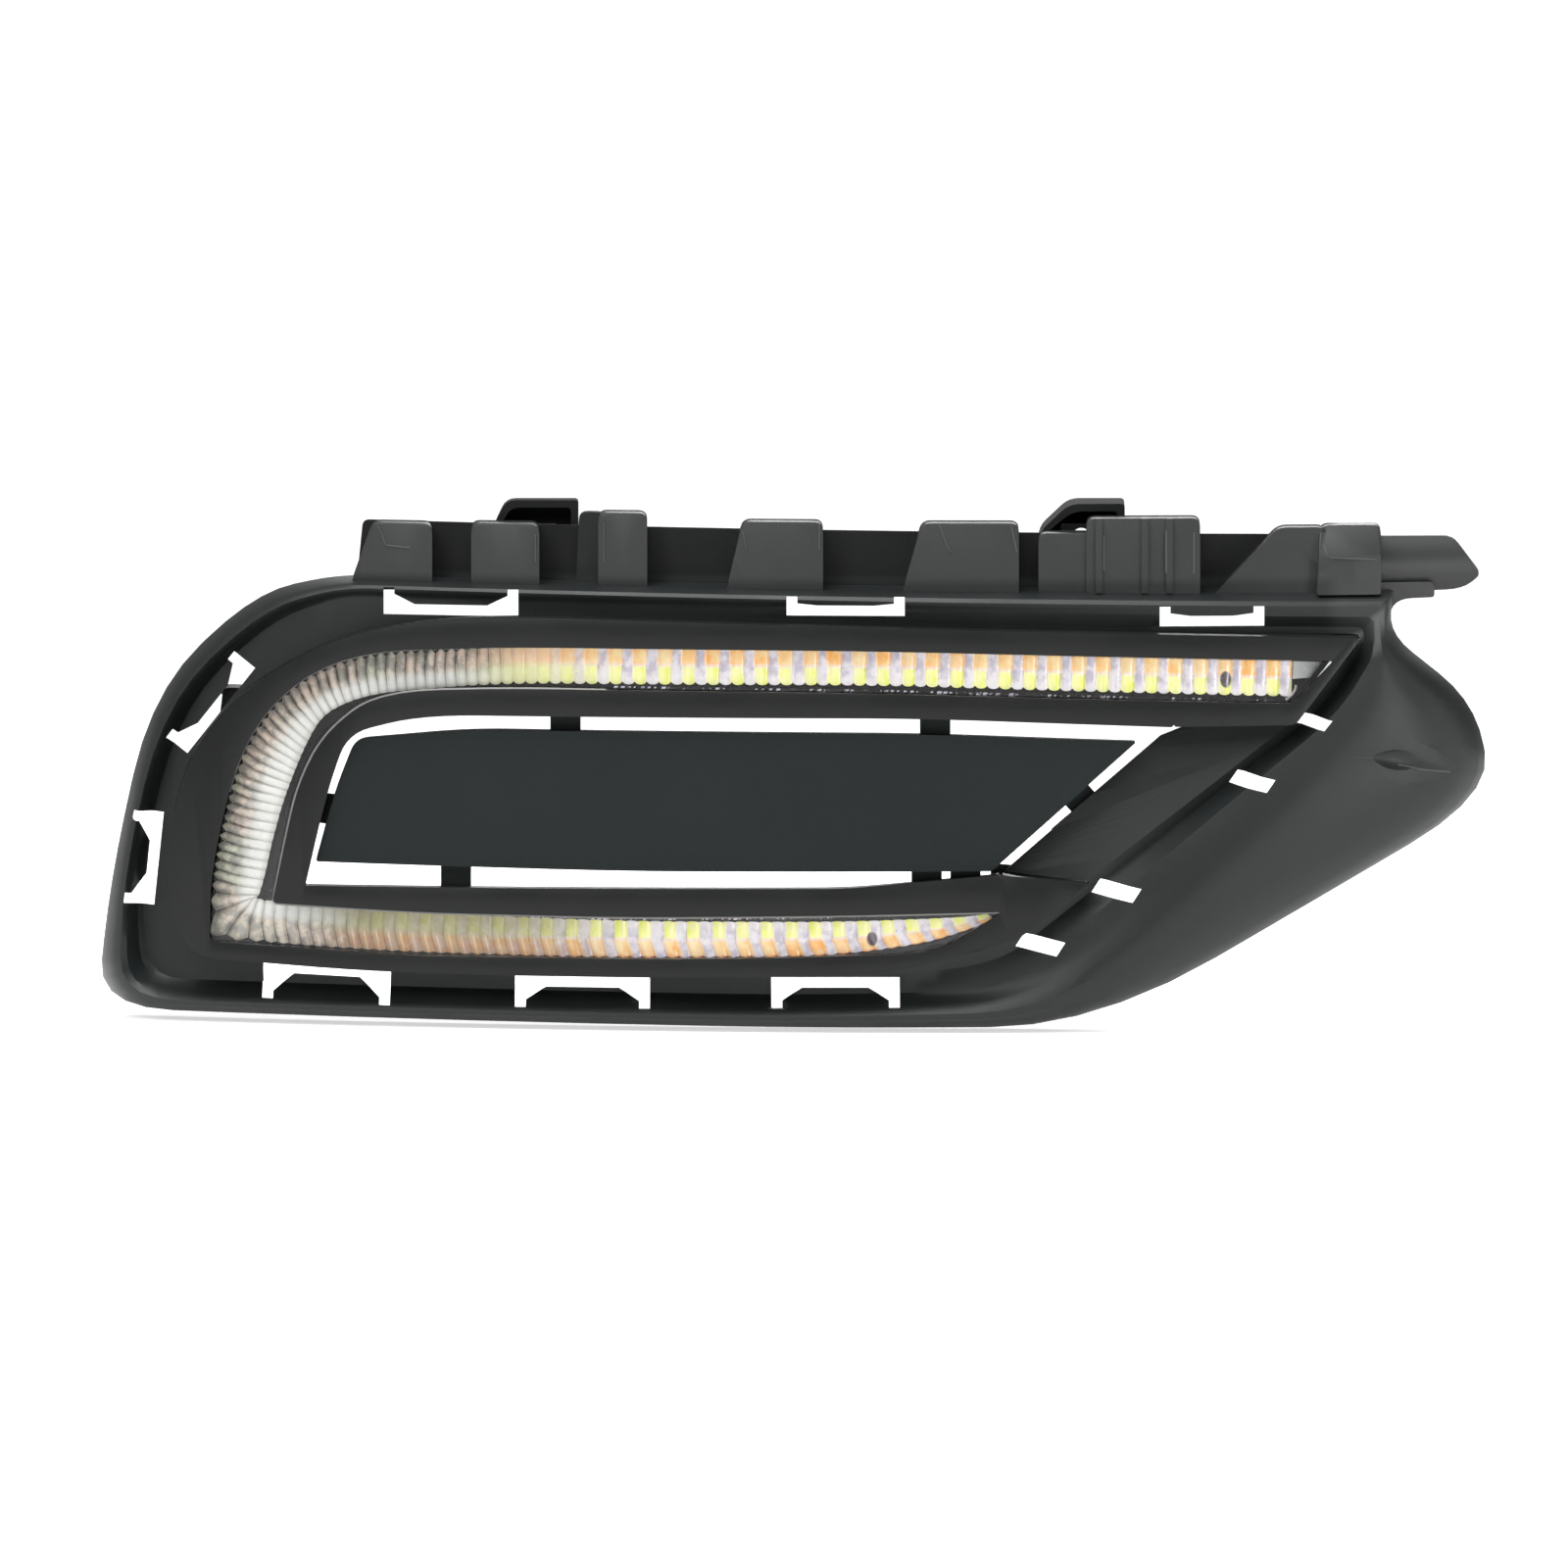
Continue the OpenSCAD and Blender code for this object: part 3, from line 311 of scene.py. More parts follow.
# Lighter grey beads along the creases: a painted highlight of edges that catch the light.
crease_highlight_finish = plastic("crease_painted_highlight_plastic", (0.045, 0.046, 0.046), (0.075, 0.076, 0.076), 0.36,
                       grain=2.0, patch=0.7, bump=0.1)
silver_coat = metal("reflector_silver_coat", (0.80, 0.81, 0.83), (0.70, 0.71, 0.73), 0.2, bump=0.1)
screw_steel = metal("screw_zinc_steel", (0.58, 0.59, 0.60), (0.42, 0.42, 0.42), 0.34)
clip_steel = metal("clip_spring_steel", (0.34, 0.35, 0.36), (0.24, 0.24, 0.25), 0.4)
pin_brass = metal("pin_tinned_brass", (0.78, 0.60, 0.28), (0.66, 0.48, 0.2), 0.28)
link_copper = metal("link_copper_foil", (0.74, 0.38, 0.20), (0.6, 0.28, 0.14), 0.34)


def clear_lens():
    """Clear moulded lens with very faint flow lines."""
    made, tree, shader, place = material(
        "lens_clear_acrylic", Base_Color=(0.97, 0.98, 0.98), IOR=1.33, Transmission_Weight=1.0)
    flow = noise(tree, place, 90.0, 2.0, 0.5)
    feed(tree, shader.inputs["Roughness"], ramp_between(tree, flow, 0.3, 0.8, 0.02, 0.05))
    bumped(tree, shader, flow, 0.05, 0.0001)
    return made


finishes = {
    "bezel_frame": frame_plastic,
    "centre_blank": blank_plastic,
    "lamp_trim": trim_plastic,
    "outer_lens": clear_lens(),
    "fluted_optic": board_white,
    "reflector": silver_coat,
    "white_leds": white_phosphor,
    "amber_leds": amber_phosphor,
    "led_strip_upper": board_white,
    "led_strip_corner": board_white,
    "led_strip_lower": board_white,
    "strip_links": link_copper,
    "lens_seal": seal_rubber,
    "lamp_housing": housing_plastic,
    "housing_screws": screw_steel,
    "vent_plug": seal_rubber,
    "driver_case": case_plastic,
    "driver_cover": case_plastic,
    "driver_seal": seal_rubber,
    "cover_screws": screw_steel,
    "driver_board": board_green,
    "driver_parts": part_plastic,
    "driver_coil": coil_grey,
    "connector_pins": pin_brass,
    "nut_clips": clip_steel}

for name, node in nodes.items():
    node.data.materials.clear()
    node.data.materials.append(finishes[name])


# Pieces that stand for solids


def piece(name, mesh, finish):
    """Adds a piece of one finish, which rides on the fixed body."""
    made = bpy.data.objects.new(name, mesh)
    bpy.context.scene.collection.objects.link(made)
    mesh.materials.clear()
    mesh.materials.append(finish)
    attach(made, "root")
    return made


def smooth_by_angle(work, angle):
    for face in work.faces:
        face.smooth = True
    for edge in work.edges:
        edge.smooth = len(edge.link_faces) == 2 and edge.calc_face_angle(0.0) < radians(angle)


# Weld distance in metres, and angles in degrees: flat faces that join, creases and rounded edges
weld = 0.000002
flat_angle = 0.2
crease_angle = 28
sharp_angle = 40


def everywhere(place):
    return True


def finished_copy(node, name, edge=0.0, where=everywhere):
    """Merged and smoothly shaded copy of a solid, with its sharp edges rounded."""
    work = bmesh.new()
    work.from_mesh(nodes[node].data)
    bmesh.ops.remove_doubles(work, verts=work.verts, dist=weld)
    bmesh.ops.dissolve_degenerate(work, edges=work.edges, dist=weld)
    bmesh.ops.dissolve_limit(work, angle_limit=radians(flat_angle), verts=work.verts, edges=work.edges)
    if edge:
        sharp = [e for e in work.edges if len(e.link_faces) == 2
                 and e.calc_face_angle(0.0) > radians(sharp_angle) and all(where(v.co) for v in e.verts)]
        bmesh.ops.bevel(work, geom=sharp, offset=edge, offset_type="OFFSET", segments=2, profile=0.5,
                        affect="EDGES", clamp_overlap=where is everywhere, material=-1)
    smooth_by_angle(work, crease_angle)
    mesh = bpy.data.meshes.new(name)
    work.to_mesh(mesh)
    work.free()
    made = piece(name, mesh, finishes[node])
    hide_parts(node)
    return made


# Lowest height of the rail's boxes and the depth that their fronts stay before, in millimetres
rail_low = -11.5
rail_front = 19.5


def on_rail_front(place):
    """True on the front faces of the boxes along the top rail."""
    return place.z / mm > rail_low and depth_of(place) < rail_front


frame_moulding = finished_copy("bezel_frame", "frame_moulding", 0.0004, on_rail_front)
finished_copy("centre_blank", "blank_plate")
trim_border = finished_copy("lamp_trim", "trim_border", 0.00022)
finished_copy("lamp_housing", "housing_shell")
finished_copy("driver_case", "case_shell")
lens_shell = finished_copy("outer_lens", "lens_shell")


# Lines and sheets


def rounded_line(corners, steps):
    """Open line through corners of [x, z, width, rounding before, rounding after]."""
    line = [Vector(corners[0][:3])]
    for i in range(1, len(corners) - 1):
        here, before, after = (Vector(corners[k][:3]) for k in (i, i - 1, i + 1))
        start = here.lerp(before, min(corners[i][3] / (before.xy - here.xy).length, 0.47))
        end = here.lerp(after, min(corners[i][4] / (after.xy - here.xy).length, 0.47))
        for j in range(steps + 1):
            t = j / steps
            line.append(start.lerp(here, t).lerp(here.lerp(end, t), t))
    line.append(Vector(corners[-1][:3]))
    return line


class Path:
    """Line that is read by the distance along it."""

    def __init__(self, points):
        self.points = points
        self.runs = [0.0]
        for a, b in zip(points, points[1:]):
            self.runs.append(self.runs[-1] + (b.xy - a.xy).length)
        self.length = self.runs[-1]

    def at(self, s):
        s = min(max(s, 0.0), self.length)
        i = next((k for k in range(1, len(self.runs)) if self.runs[k] >= s), len(self.runs) - 1)
        span = max(self.runs[i] - self.runs[i - 1], 1e-9)
        return self.points[i - 1].lerp(self.points[i], (s - self.runs[i - 1]) / span)

    def across(self, s):
        d = self.at(s + 1.5).xy - self.at(s - 1.5).xy
        return Vector((-d.y, d.x)).normalized()


def step_between(value, low_end, high_end):
    t = min(max((value - low_end) / (high_end - low_end), 0.0), 1.0)
    return t * t * (3 - 2 * t)


def sheet(work, rows):
    """Quad sheet through rows of points, with its vertices in reading order."""
    grid = bmesh.ops.create_grid(
        work, x_segments=len(rows) - 1, y_segments=len(rows[0]) - 1, size=1.0)["verts"]
    grid.sort(key=lambda v: (round(v.co.x, 6), v.co.y))
    for k, v in enumerate(grid):
        v.co = rows[k // len(rows[0])][k % len(rows[0])]
    return grid


def closed_mesh(work, name, angle):
    """Joins the seams of sheets, fills their ends and gives the mesh."""
    bmesh.ops.remove_doubles(work, verts=work.verts, dist=0.0000005)
    rims = [edge for edge in work.edges if len(edge.link_faces) == 1]
    if rims:
        bmesh.ops.holes_fill(work, edges=rims, sides=0)
    bmesh.ops.recalc_face_normals(work, faces=work.faces)
    smooth_by_angle(work, angle)
    mesh = bpy.data.meshes.new(name)
    work.to_mesh(mesh)
    work.free()
    return mesh


def side_at(points, i):
    """Direction across a line of points, in the front view, at one of them."""
    before, after = points[max(i - 1, 0)], points[min(i + 1, len(points) - 1)]
    return Vector((before[1] - after[1], after[0] - before[0])).normalized()


def tube(work, points, radius, sides=8):
    """Round bead through points in millimetres [x, z, depth]."""
    rows = []
    for i, p in enumerate(points):
        side = side_at(points, i)
        ring = []
        for k in range(sides + 1):
            turn = 2 * pi * (k % sides) / sides
            offset = side * (cos(turn) * radius)
            ring.append(on_bow(p[0] + offset.x, p[1] + offset.y, p[2] + sin(turn) * radius))
        rows.append(ring)
    sheet(work, rows)


def band_ring(place, side, near, far, front, back):
    """Section of a flat band from near to far along side, between two depths."""
    ring = []
    for reach, depth in ((near, front), (far, front), (far, back), (near, back), (near, front)):
        p = place + side * reach
        ring.append(on_bow(p.x, p.y, depth))
    return ring


# Middle line of the light bar: [x, z, width, rounding before, rounding after]
bar_corners = [
    (right - 56, -39.3, 10.3, 1, 1),
    (22, -35.6, 10.3, 20, 20),
    (-94, -35.7, 11, 20, 20),
    (left + 68.5, -40.5, 12, 22, 20),
    (left + 48, -64, 17.6, 20, 20),
    (left + 43, low + 49, 18.2, 14, 14),
    (left + 40.5, low + 30.6, 12.2, 9, 12),
    (left + 95, low + 28, 11.4, 16, 16),
    (-54, low + 26.9, 10.4, 20, 20),
    (7, low + 27.6, 9.6, 16, 14),
    (34, low + 30, 6.8, 9, 6),
    (47, low + 32.4, 3.4, 5, 3),
    (55, low + 34.6, 1.2, 1, 1)]
arc_steps = 8
bar = Path(rounded_line(bar_corners, arc_steps))


def bar_run(corner, step):
    """Distance along the bar to a step of the arc at one of its corners."""
    return bar.runs[1 + (corner - 1) * (arc_steps + 1) + step]


# Distances along the bar: its flutes, its three strips of emitters and its fold
bar_first = 4.0
bar_last = bar.length - 0.5
strip_gap = 5.0
upper_start = 6.0
upper_stop = bar_run(2, 7)
corner_start = upper_stop + strip_gap
corner_stop = bar_run(5, 8) - 2.0
lower_start = corner_stop + strip_gap
swell_middle = bar_run(4, 4)
fold_middle = bar_run(6, 4)
fold_end = bar_run(6, 8)
optic_depth = 7.15
optic_back = 9.25

# Outer side of the window round the corner of the bar: [x, z, width, rounding before, rounding after]
window_outer = [
    (-40, -30.4, 0, 1, 1),
    (-94.2, -30.3, 0, 29, 29),
    (left + 71.4, -33, 0, 23, 23),
    (left + 45.2, -55.4, 0, 23, 23),
    (left + 34.8, low + 47.6, 0, 26, 26),
    (left + 34.2, low + 24.3, 0, 1.7, 1.7),
    (left + 94.6, low + 21.4, 0, 17, 17),
    (-30.4, low + 21.5, 0, 1, 1)]
window_edge = [p.xy for p in rounded_line(window_outer, 6)]


def window_reach(start, way):
    """Distance from a point to the outer side of the window."""
    nearest = 12.0
    for a, b in zip(window_edge, window_edge[1:]):
        edge, gap = b - a, a - start
        turn = way.x * edge.y - way.y * edge.x
        if abs(turn) < 1e-9:
            continue
        t = (gap.x * edge.y - gap.y * edge.x) / turn
        share = (gap.x * way.y - gap.y * way.x) / turn
        if t > 0 and -0.001 <= share <= 1.001:
            nearest = min(nearest, t)
    return nearest


def in_corner(s):
    """One in the silver left part of the bar, none on its two long arms."""
    entered = step_between(s, upper_stop - 26, upper_stop + 8)
    return entered * (1 - step_between(s, corner_stop - 4, corner_stop + 26))


def at_window(s):
    """One where the flutes end at the edge of the window, round the corner of the bar."""
    entered = step_between(s, upper_stop - 26, upper_stop)
    return entered * (1 - step_between(s, fold_end, fold_end + 20))


def inner_swell(s):
    """Extra width of the bar towards the middle of its left part."""
    reach, width = 28, 2.1
    far = abs(s - swell_middle) / reach
    return width * (1 - far * far) ** 2 if far < 1 else 0.0


def flute_edges():
    """Places of the valleys between flutes, closer together in the corner."""
    places = [bar_first]
    while places[-1] < bar_last - 2:
        places.append(places[-1] + flute_pitch - 0.7 * in_corner(places[-1]))
    return places


def column_at(s):
    """Distance in emitter pitches from the first emitter of the strip at s."""
    start = lower_start
    if s < upper_stop + strip_gap / 2:
        start = upper_start
    elif s < corner_stop + strip_gap / 2:
        start = corner_start
    return (s - start) / led_pitch - 0.5


def warmth_at(s, lower):
    """How far the emitters' colour shows through at s: not in the corner, fully on the arms."""
    x = bar.at(s).x
    on_upper = 1 - step_between(s, upper_stop - 8, upper_stop + 12)
    lower_share = 0.5 * step_between(x, -160, -120) + 0.42 * step_between(x, -95, -40)
    return on_upper * step_between(x, -118, -42) + lower * lower_share


across_steps = 12
round_steps = 8


def flute_section(s, u):
    """Ring of places round the optic at s, and what its finish reads at each of them.

    u goes from -1 to 1 over one flute. What the finish reads is the emitter column, the
    place across the bar, the warmth and u.
    """
    corner = in_corner(s)
    lower = step_between(s, corner_stop, corner_stop + 20)
    upper = 1 - step_between(s, upper_stop - 20, upper_stop)
    crown = sqrt(1 - 0.93 * u * u)
    outer = 1 - (0.3 * corner + 0.06 * lower) * abs(u) ** 1.1 - 0.03 * upper * (1 - crown)
    inner = 1 - (0.2 * upper + 0.08 * lower + 0.02 * corner) * (1 - crown)
    column = column_at(s)
    warmth = warmth_at(s, lower)
    at_edge = at_window(s)
    ring, notes, reaches = [], [], {}
    for i in range(across_steps + 1):
        w = 2 * i / across_steps - 1
        lean = 1.5 * lower * max(0.0, -w - 0.1) - 0.8 * corner * max(0.0, -w)
        middle = bar.at(s + lean)
        across = bar.across(s + lean)
        far = middle.z / 2 + 0.3
        if w < 0 and at_edge:
            far += at_edge * (window_reach(middle.xy, -across) - 0.5 - far)
        elif w > 0:
            far += inner_swell(s)
        reach = w * (outer if w < 0 else inner) * far
        reaches[w] = abs(reach)
        p = middle.xy + across * reach
        swell = 1 - 0.25 * abs(w) ** 3
        fold = 1.1 + corner * (1.5 - 1.9 * step_between(w, -0.3, 0.8))
        ring.append(on_bow(p.x, p.y, optic_depth + fold * (1 - crown * swell)))
        notes.append((column, w, warmth, u))
    for w in (1, -1):
        p = bar.at(s).xy + bar.across(s) * (w * 0.9 * reaches[w])
        ring.append(on_bow(p.x, p.y, optic_back))
        notes.append((column, w, warmth, u))
    return ring + ring[:1], notes + notes[:1]


def optic_flutes():
    """Folded optic: a ribbon whose front is a row of round flutes with scalloped ends."""
    work = bmesh.new()
    bar_map = work.loops.layers.uv.new("bar")
    tone_map = work.loops.layers.uv.new("tone")
    places = flute_edges()
    rows, notes = [], []
    for start, end in zip(places, places[1:]):
        for j in range(round_steps + (end == places[-1])):
            s = start + (end - start) * j / round_steps
            ring, ring_notes = flute_section(s, 2 * j / round_steps - 1)
            rows.append(ring)
            notes.extend(ring_notes)
    note_of = dict(zip(sheet(work, rows), notes))
    for face in work.faces:
        for loop in face.loops:
            column, w, warmth, u = note_of[loop.vert]
            loop[bar_map].uv = (column, w)
            loop[tone_map].uv = (warmth, u)
    return closed_mesh(work, "optic_flutes", 42)


# Finish of the flutes


def emitter_cells(tree, along, across, blotch, broad, patch):
    """Amber cells outside, white ones inside, and pale bars between their columns."""
    shifted = maths(tree, "ADD", along, 0.5)
    number = add(tree, "ShaderNodeTexWhiteNoise", noise_dimensions="1D")
    feed(tree, number.inputs["W"], maths(tree, "FLOOR", shifted))
    chance = number.outputs["Value"]
    centred = less(tree, maths(tree, "FRACT", shifted), 0.5)
    jitter = maths(tree, "MULTIPLY_ADD", less(tree, chance, 0.5), 0.08, centred)
    column = maths(tree, "ABSOLUTE", jitter)
    fade = times(tree, ramp_between(tree, chance, 0.45, 0.95), 0.5)
    amber = mixed(tree, ramp_between(tree, broad, 0.38, 0.6), (1.0, 0.47, 0.10), (0.98, 0.62, 0.25))
    amber = mixed(tree, times(tree, patch, 0.5), amber, (0.99, 0.82, 0.46))
    amber = mixed(tree, fade, amber, (0.93, 0.76, 0.48))
    white = mixed(tree, ramp_between(tree, centred, -0.24, 0.2), (0.80, 0.84, 0.08), (0.97, 0.95, 0.40))
    white = mixed(tree, times(tree, patch, 0.4), white, (0.98, 0.96, 0.58))
    seam = times(tree, ramp_between(tree, across, -0.2, -0.02),
                 ramp_between(tree, across, 0.0, 0.16, 1.0, 0.0))
    ragged = maths(tree, "MULTIPLY_ADD", blotch, 0.3, less(tree, across, 0.15))
    chip = mixed(tree, ramp_between(tree, ragged, -0.06, 0.06), amber, white)
    chip = mixed(tree, times(tree, seam, 0.8), chip, (0.90, 0.72, 0.62))
    chip = mixed(tree, ramp_between(tree, across, -1.0, -0.86, 1.0, 0.0), chip, (0.80, 0.30, 0.12))
    between = mixed(tree, patch, (0.50, 0.45, 0.54), (0.78, 0.72, 0.76))
    inward = ramp_between(tree, across, 0.2, 0.95, 0.0, 0.75)
    between = mixed(tree, inward, between, (0.92, 0.86, 0.86))
    edge = maths(tree, "MULTIPLY_ADD", blotch, 0.16, column)
    edge = maths(tree, "ADD", edge, ramp_between(tree, across, -0.1, 0.1, 0.0, 0.05))
    return mixed(tree, ramp_between(tree, edge, 0.32, 0.45, 1.0, 0.0), between, chip)


def pale_flutes(tree, place, across, fold, patch):
    """Flutes towards the corner: dim orange and yellow on the lower arm with a painted highlight along their
    crests, cream on the upper one.
    """
    dim = mixed(tree, ramp_between(tree, across, -0.5, 0.2), (0.42, 0.19, 0.075), (0.27, 0.25, 0.085))
    dim = mixed(tree, times(tree, patch, 0.5), dim, (0.27, 0.21, 0.12))
    # Painted highlight: thin pale lines on the crests of the flutes.
    crest_highlight = times(tree, ramp_between(tree, fold, 0.0, 0.2, 1.0, 0.0),
                  ramp_between(tree, across, -0.2, 0.1, 0.45, 0.0))
    dim = mixed(tree, crest_highlight, dim, (0.80, 0.62, 0.30))
    cream = mixed(tree, ramp_between(tree, across, -0.4, 0.3), (0.84, 0.56, 0.33), (0.76, 0.74, 0.36))
    height = split(tree, place)[2]
    return mixed(tree, ramp_between(tree, height, -0.085, -0.065), dim, cream)


def silver_flutes(tree, across, broad, patch):
    """Flutes of the corner, painted as the reflection of the silver reflector behind them: pearl and grey
    outside, bright silver inside.
    """
    pearl = mixed(tree, ramp_between(tree, broad, 0.4, 0.62), (0.78, 0.63, 0.52), (0.63, 0.65, 0.49))
    silver = mixed(tree, patch, (0.36, 0.33, 0.285), pearl)
    silver = mixed(tree, ramp_between(tree, across, -0.1, 0.5), silver, (0.82, 0.81, 0.77))
    return mixed(tree, ramp_between(tree, across, 0.75, 1.0, 0.0, 0.5), silver, (0.36, 0.34, 0.30))


# Dark marks in the bar: [x, z, half width, half height] in millimetres
dark_marks = [(123.4, -39.4, 1.8, 2.7), (18.9, -116.3, 1.7, 2.3)]


def mark_mask(tree, place, x, z, half_width, half_height):
    """One inside an upright oval of the front view, none outside it."""
    here_x, _, here_z = split(tree, place)
    a = maths(tree, "DIVIDE", less(tree, here_x, x * mm), half_width * mm)
    b = maths(tree, "DIVIDE", less(tree, here_z, z * mm), half_height * mm)
    far = maths(tree, "ADD", times(tree, a, a), times(tree, b, b))
    return ramp_between(tree, far, 0.55, 1.1, 1.0, 0.0)


def flute_finish():
    """Clear fluted optic over two rows of emitters, with a painted reflection of silver round the corner,
    painted shade in its valleys and a painted glow.
    """
    made, tree, shader, place = material("optic_fluted_acrylic", Coat_Weight=0.6, Coat_Roughness=0.08)
    along, across, _ = split(tree, add(tree, "ShaderNodeUVMap", uv_map="bar").outputs[0])
    warmth, turn, _ = split(tree, add(tree, "ShaderNodeUVMap", uv_map="tone").outputs[0])
    fold = maths(tree, "ABSOLUTE", turn)
    blotch = noise(tree, place, 260.0, 3.0, 0.6)
    broad = noise(tree, place, 60.0, 2.0, 0.5)
    patch = ramp_between(tree, blotch, 0.35, 0.65)
    # Painted reflection of the silver reflector round the corner.
    silver = silver_flutes(tree, across, broad, patch)
    pale = pale_flutes(tree, place, across, fold, patch)
    cells = emitter_cells(tree, along, across, blotch, broad, patch)
    tint = mixed(tree, ramp_between(tree, warmth, 0.0, 0.45), silver, pale)
    tint = mixed(tree, ramp_between(tree, warmth, 0.35, 1.0), tint, cells)
    outside = ramp_between(tree, across, -0.95, 0.7, 1.0, 0.45)
    unlit = ramp_between(tree, warmth, 0.1, 0.5, 1.0, 0.25)
    # Painted shade in the valleys between the flutes, strongest on their outer side and where the emitters'
    # colour doesn't show.
    valley_shade = times(tree, maths(tree, "POWER", fold, 3.0), times(tree, outside, unlit))
    tint = mixed(tree, valley_shade, tint, (0.055, 0.045, 0.04))
    for mark in dark_marks:
        tint = mixed(tree, mark_mask(tree, place, *mark), tint, (0.07, 0.045, 0.06))
    feed(tree, shader.inputs["Base Color"], tint)
    # Painted glow: the optic emits a little light of its own colour, less round the corner, to stand in for
    # the light it takes in.
    dimmed = mixed(tree, 0.7, tint, (0.0, 0.0, 0.0))
    glow = mixed(tree, ramp_between(tree, warmth, 0.0, 0.6), dimmed, tint)
    feed(tree, shader.inputs["Emission Color"], glow)
    shader.inputs["Emission Strength"].default_value = 0.36
    feed(tree, shader.inputs["Roughness"], ramp_between(tree, blotch, 0.3, 0.7, 0.2, 0.34))
    bumped(tree, shader, blotch, 0.1, 0.0002)
    return made


flutes = piece("optic_flutes", optic_flutes(), flute_finish())
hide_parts("fluted_optic")


# Small pieces of the light window


def optic_carrier():
    """Dark edges of the carrier, which frame the flutes on both sides: dark strips as painted shade of the
    housing's interior.
    """
    work = bmesh.new()
    count = 260
    front, back = 9.4, 10.1
    for side in (-1, 1):
        rows = []
        for i in range(count + 1):
            s = bar_first - 2 + (bar_last + 0.5 - bar_first + 2) * i / count
            middle = bar.at(s)
            near = middle.z / 2 * 0.4
            far = middle.z / 2 + 0.75
            if side > 0:
                shy = abs(s - fold_middle) / 9
                far += 2.6 * min(shy * shy, 1.0)
            rows.append(band_ring(middle.xy, bar.across(s) * side, near, far, front, back))
        sheet(work, rows)
    return closed_mesh(work, "optic_carrier", 30)


piece("optic_carrier", optic_carrier(), carrier_shade_finish)

# Lip of the window and, below, the edge of the moulded window that it covers.
# Both are lists of [x, z, width, rounding before, rounding after].
lip_corners = [
    (57.1, low + 36.2, 0, 1, 1),
    (7.2, low + 34.9, 0, 17, 17),
    (-53.6, low + 33.9, 0, 17, 17),
    (left + 94.6, low + 34.4, 0, 17, 17),
    (left + 53.1, low + 36.2, 0, 1.4, 1.4),
    (-154.6, -86, 0, 10, 10),
    (-151, -71.5, 0, 8, 8),
    (-143.6, -57, 0, 9, 12),
    (-127.5, -44.2, 0, 18, 20),
    (-88.4, -42.6, 0, 20, 20),
    (-60, -42.8, 0, 1, 1)]
moulded_corners = [
    (left + 53.1, low + 36.2, 0, 1.4, 1.4),
    (left + 54.5, -84.8, 0, 12, 12),
    (left + 64.1, -56.4, 0, 17, 17),
    (left + 83, -44, 0, 23, 23),
    (-88.4, -42.6, 0, 20, 20)]
# The part of the lip that runs beside the moulded edge
lip_beside = lip_corners[4:10]


def slide_to_lip(mesh):
    """Moves the inner edge of the window to the line of its lip."""
    old = Path(rounded_line(moulded_corners, 8))
    new = Path(rounded_line(lip_beside, 8))
    edge_width = 1.3
    for v in mesh.vertices:
        here = Vector((v.co.x, v.co.z)) / mm
        if not (-162 < here.x < -95 and -106 < here.y < -43):
            continue
        place = min(range(0, int(old.length * 2)), key=lambda k: (old.at(k / 2).xy - here).length)
        foot = old.at(place / 2).xy
        if (foot - here).length > edge_width:
            continue
        shift = new.at(place / 2 / old.length * new.length).xy - foot
        v.co = on_bow(here.x + shift.x, here.y + shift.y, depth_of(v.co))
    mesh.update()


slide_to_lip(trim_border.data)
slide_to_lip(lens_shell.data)


def window_lip():
    """Polished bead along the inner edge of the window, and a finer one along its outer edge, both pale grey
    as a painted highlight of the window's edges.
    """
    work = bmesh.new()
    line = Path(rounded_line(lip_corners, 6))
    count = 240
    tube(work, [(*line.at(line.length * i / count).xy, 0.62) for i in range(count + 1)], 0.5)
    rim = Path(rounded_line(window_outer[1:5], 8))
    tube(work, [(*rim.at(20 + (rim.length - 42) * i / 80).xy, 0.5) for i in range(81)], 0.3, 6)
    return closed_mesh(work, "window_lip", 60)


piece("window_lip", window_lip(), lip_highlight_finish)


def clear_end():
    """Clear wedge past the last flute of the upper arm, with its curved rib."""
    work = bmesh.new()
    outline = [(143.4, -34.2), (154.0, -34.3), (150.6, -38.9), (143.2, -39.4)]
    front = [on_bow(x, z, 7.4) for x, z in outline]
    rear = [on_bow(x, z, 8.6) for x, z in outline]
    sheet(work, [front + front[:1], rear + rear[:1]])
    tube(work, [(144.2 - 3.6 * (t / 6) ** 2 + 0.6 * t / 6, -41.2 - 4.4 * t / 6, 7.6) for t in range(7)], 0.42)
    return closed_mesh(work, "clear_end", 35)


def wedge_finish():
    """Clear block with painted light that brightens it towards the flutes, and painted highlight streaks."""
    made, tree, shader, place = material(
        "clear_end_acrylic", Coat_Weight=1.0, Coat_Roughness=0.05, Roughness=0.2)
    # Painted light: pale near the flutes and dark away from them; the pale streaks are painted highlights.
    share = ramp_between(tree, split(tree, place)[0], 0.1435, 0.1535)
    highlight_streak = ramp_between(tree, noise(tree, place, 500.0, 2.0, 0.5), 0.45, 0.7, 0.0, 0.3)
    tint = mixed(tree, share, (0.72, 0.71, 0.72), (0.22, 0.23, 0.24))
    feed(tree, shader.inputs["Base Color"], mixed(tree, highlight_streak, tint, (0.9, 0.9, 0.9)))
    return made


piece("clear_end", clear_end(), wedge_finish())

# Rows of facets beside the flutes: first and last place [x, z], and how many
facet_rows = [
    ((-58, -41.9), (22, -42.4), 40),
    ((22, -42.4), (138, -45.5), 60),
    ((-92, low + 33.7), (-53, low + 33.1), 24),
    ((-53, low + 33.1), (8, low + 34.1), 38)]


def chance_for(number):
    """Value between 0 and 1 that is always the same for a number."""
    value = sin(number * 12.9898) * 43758.5453
    return value - floor(value)


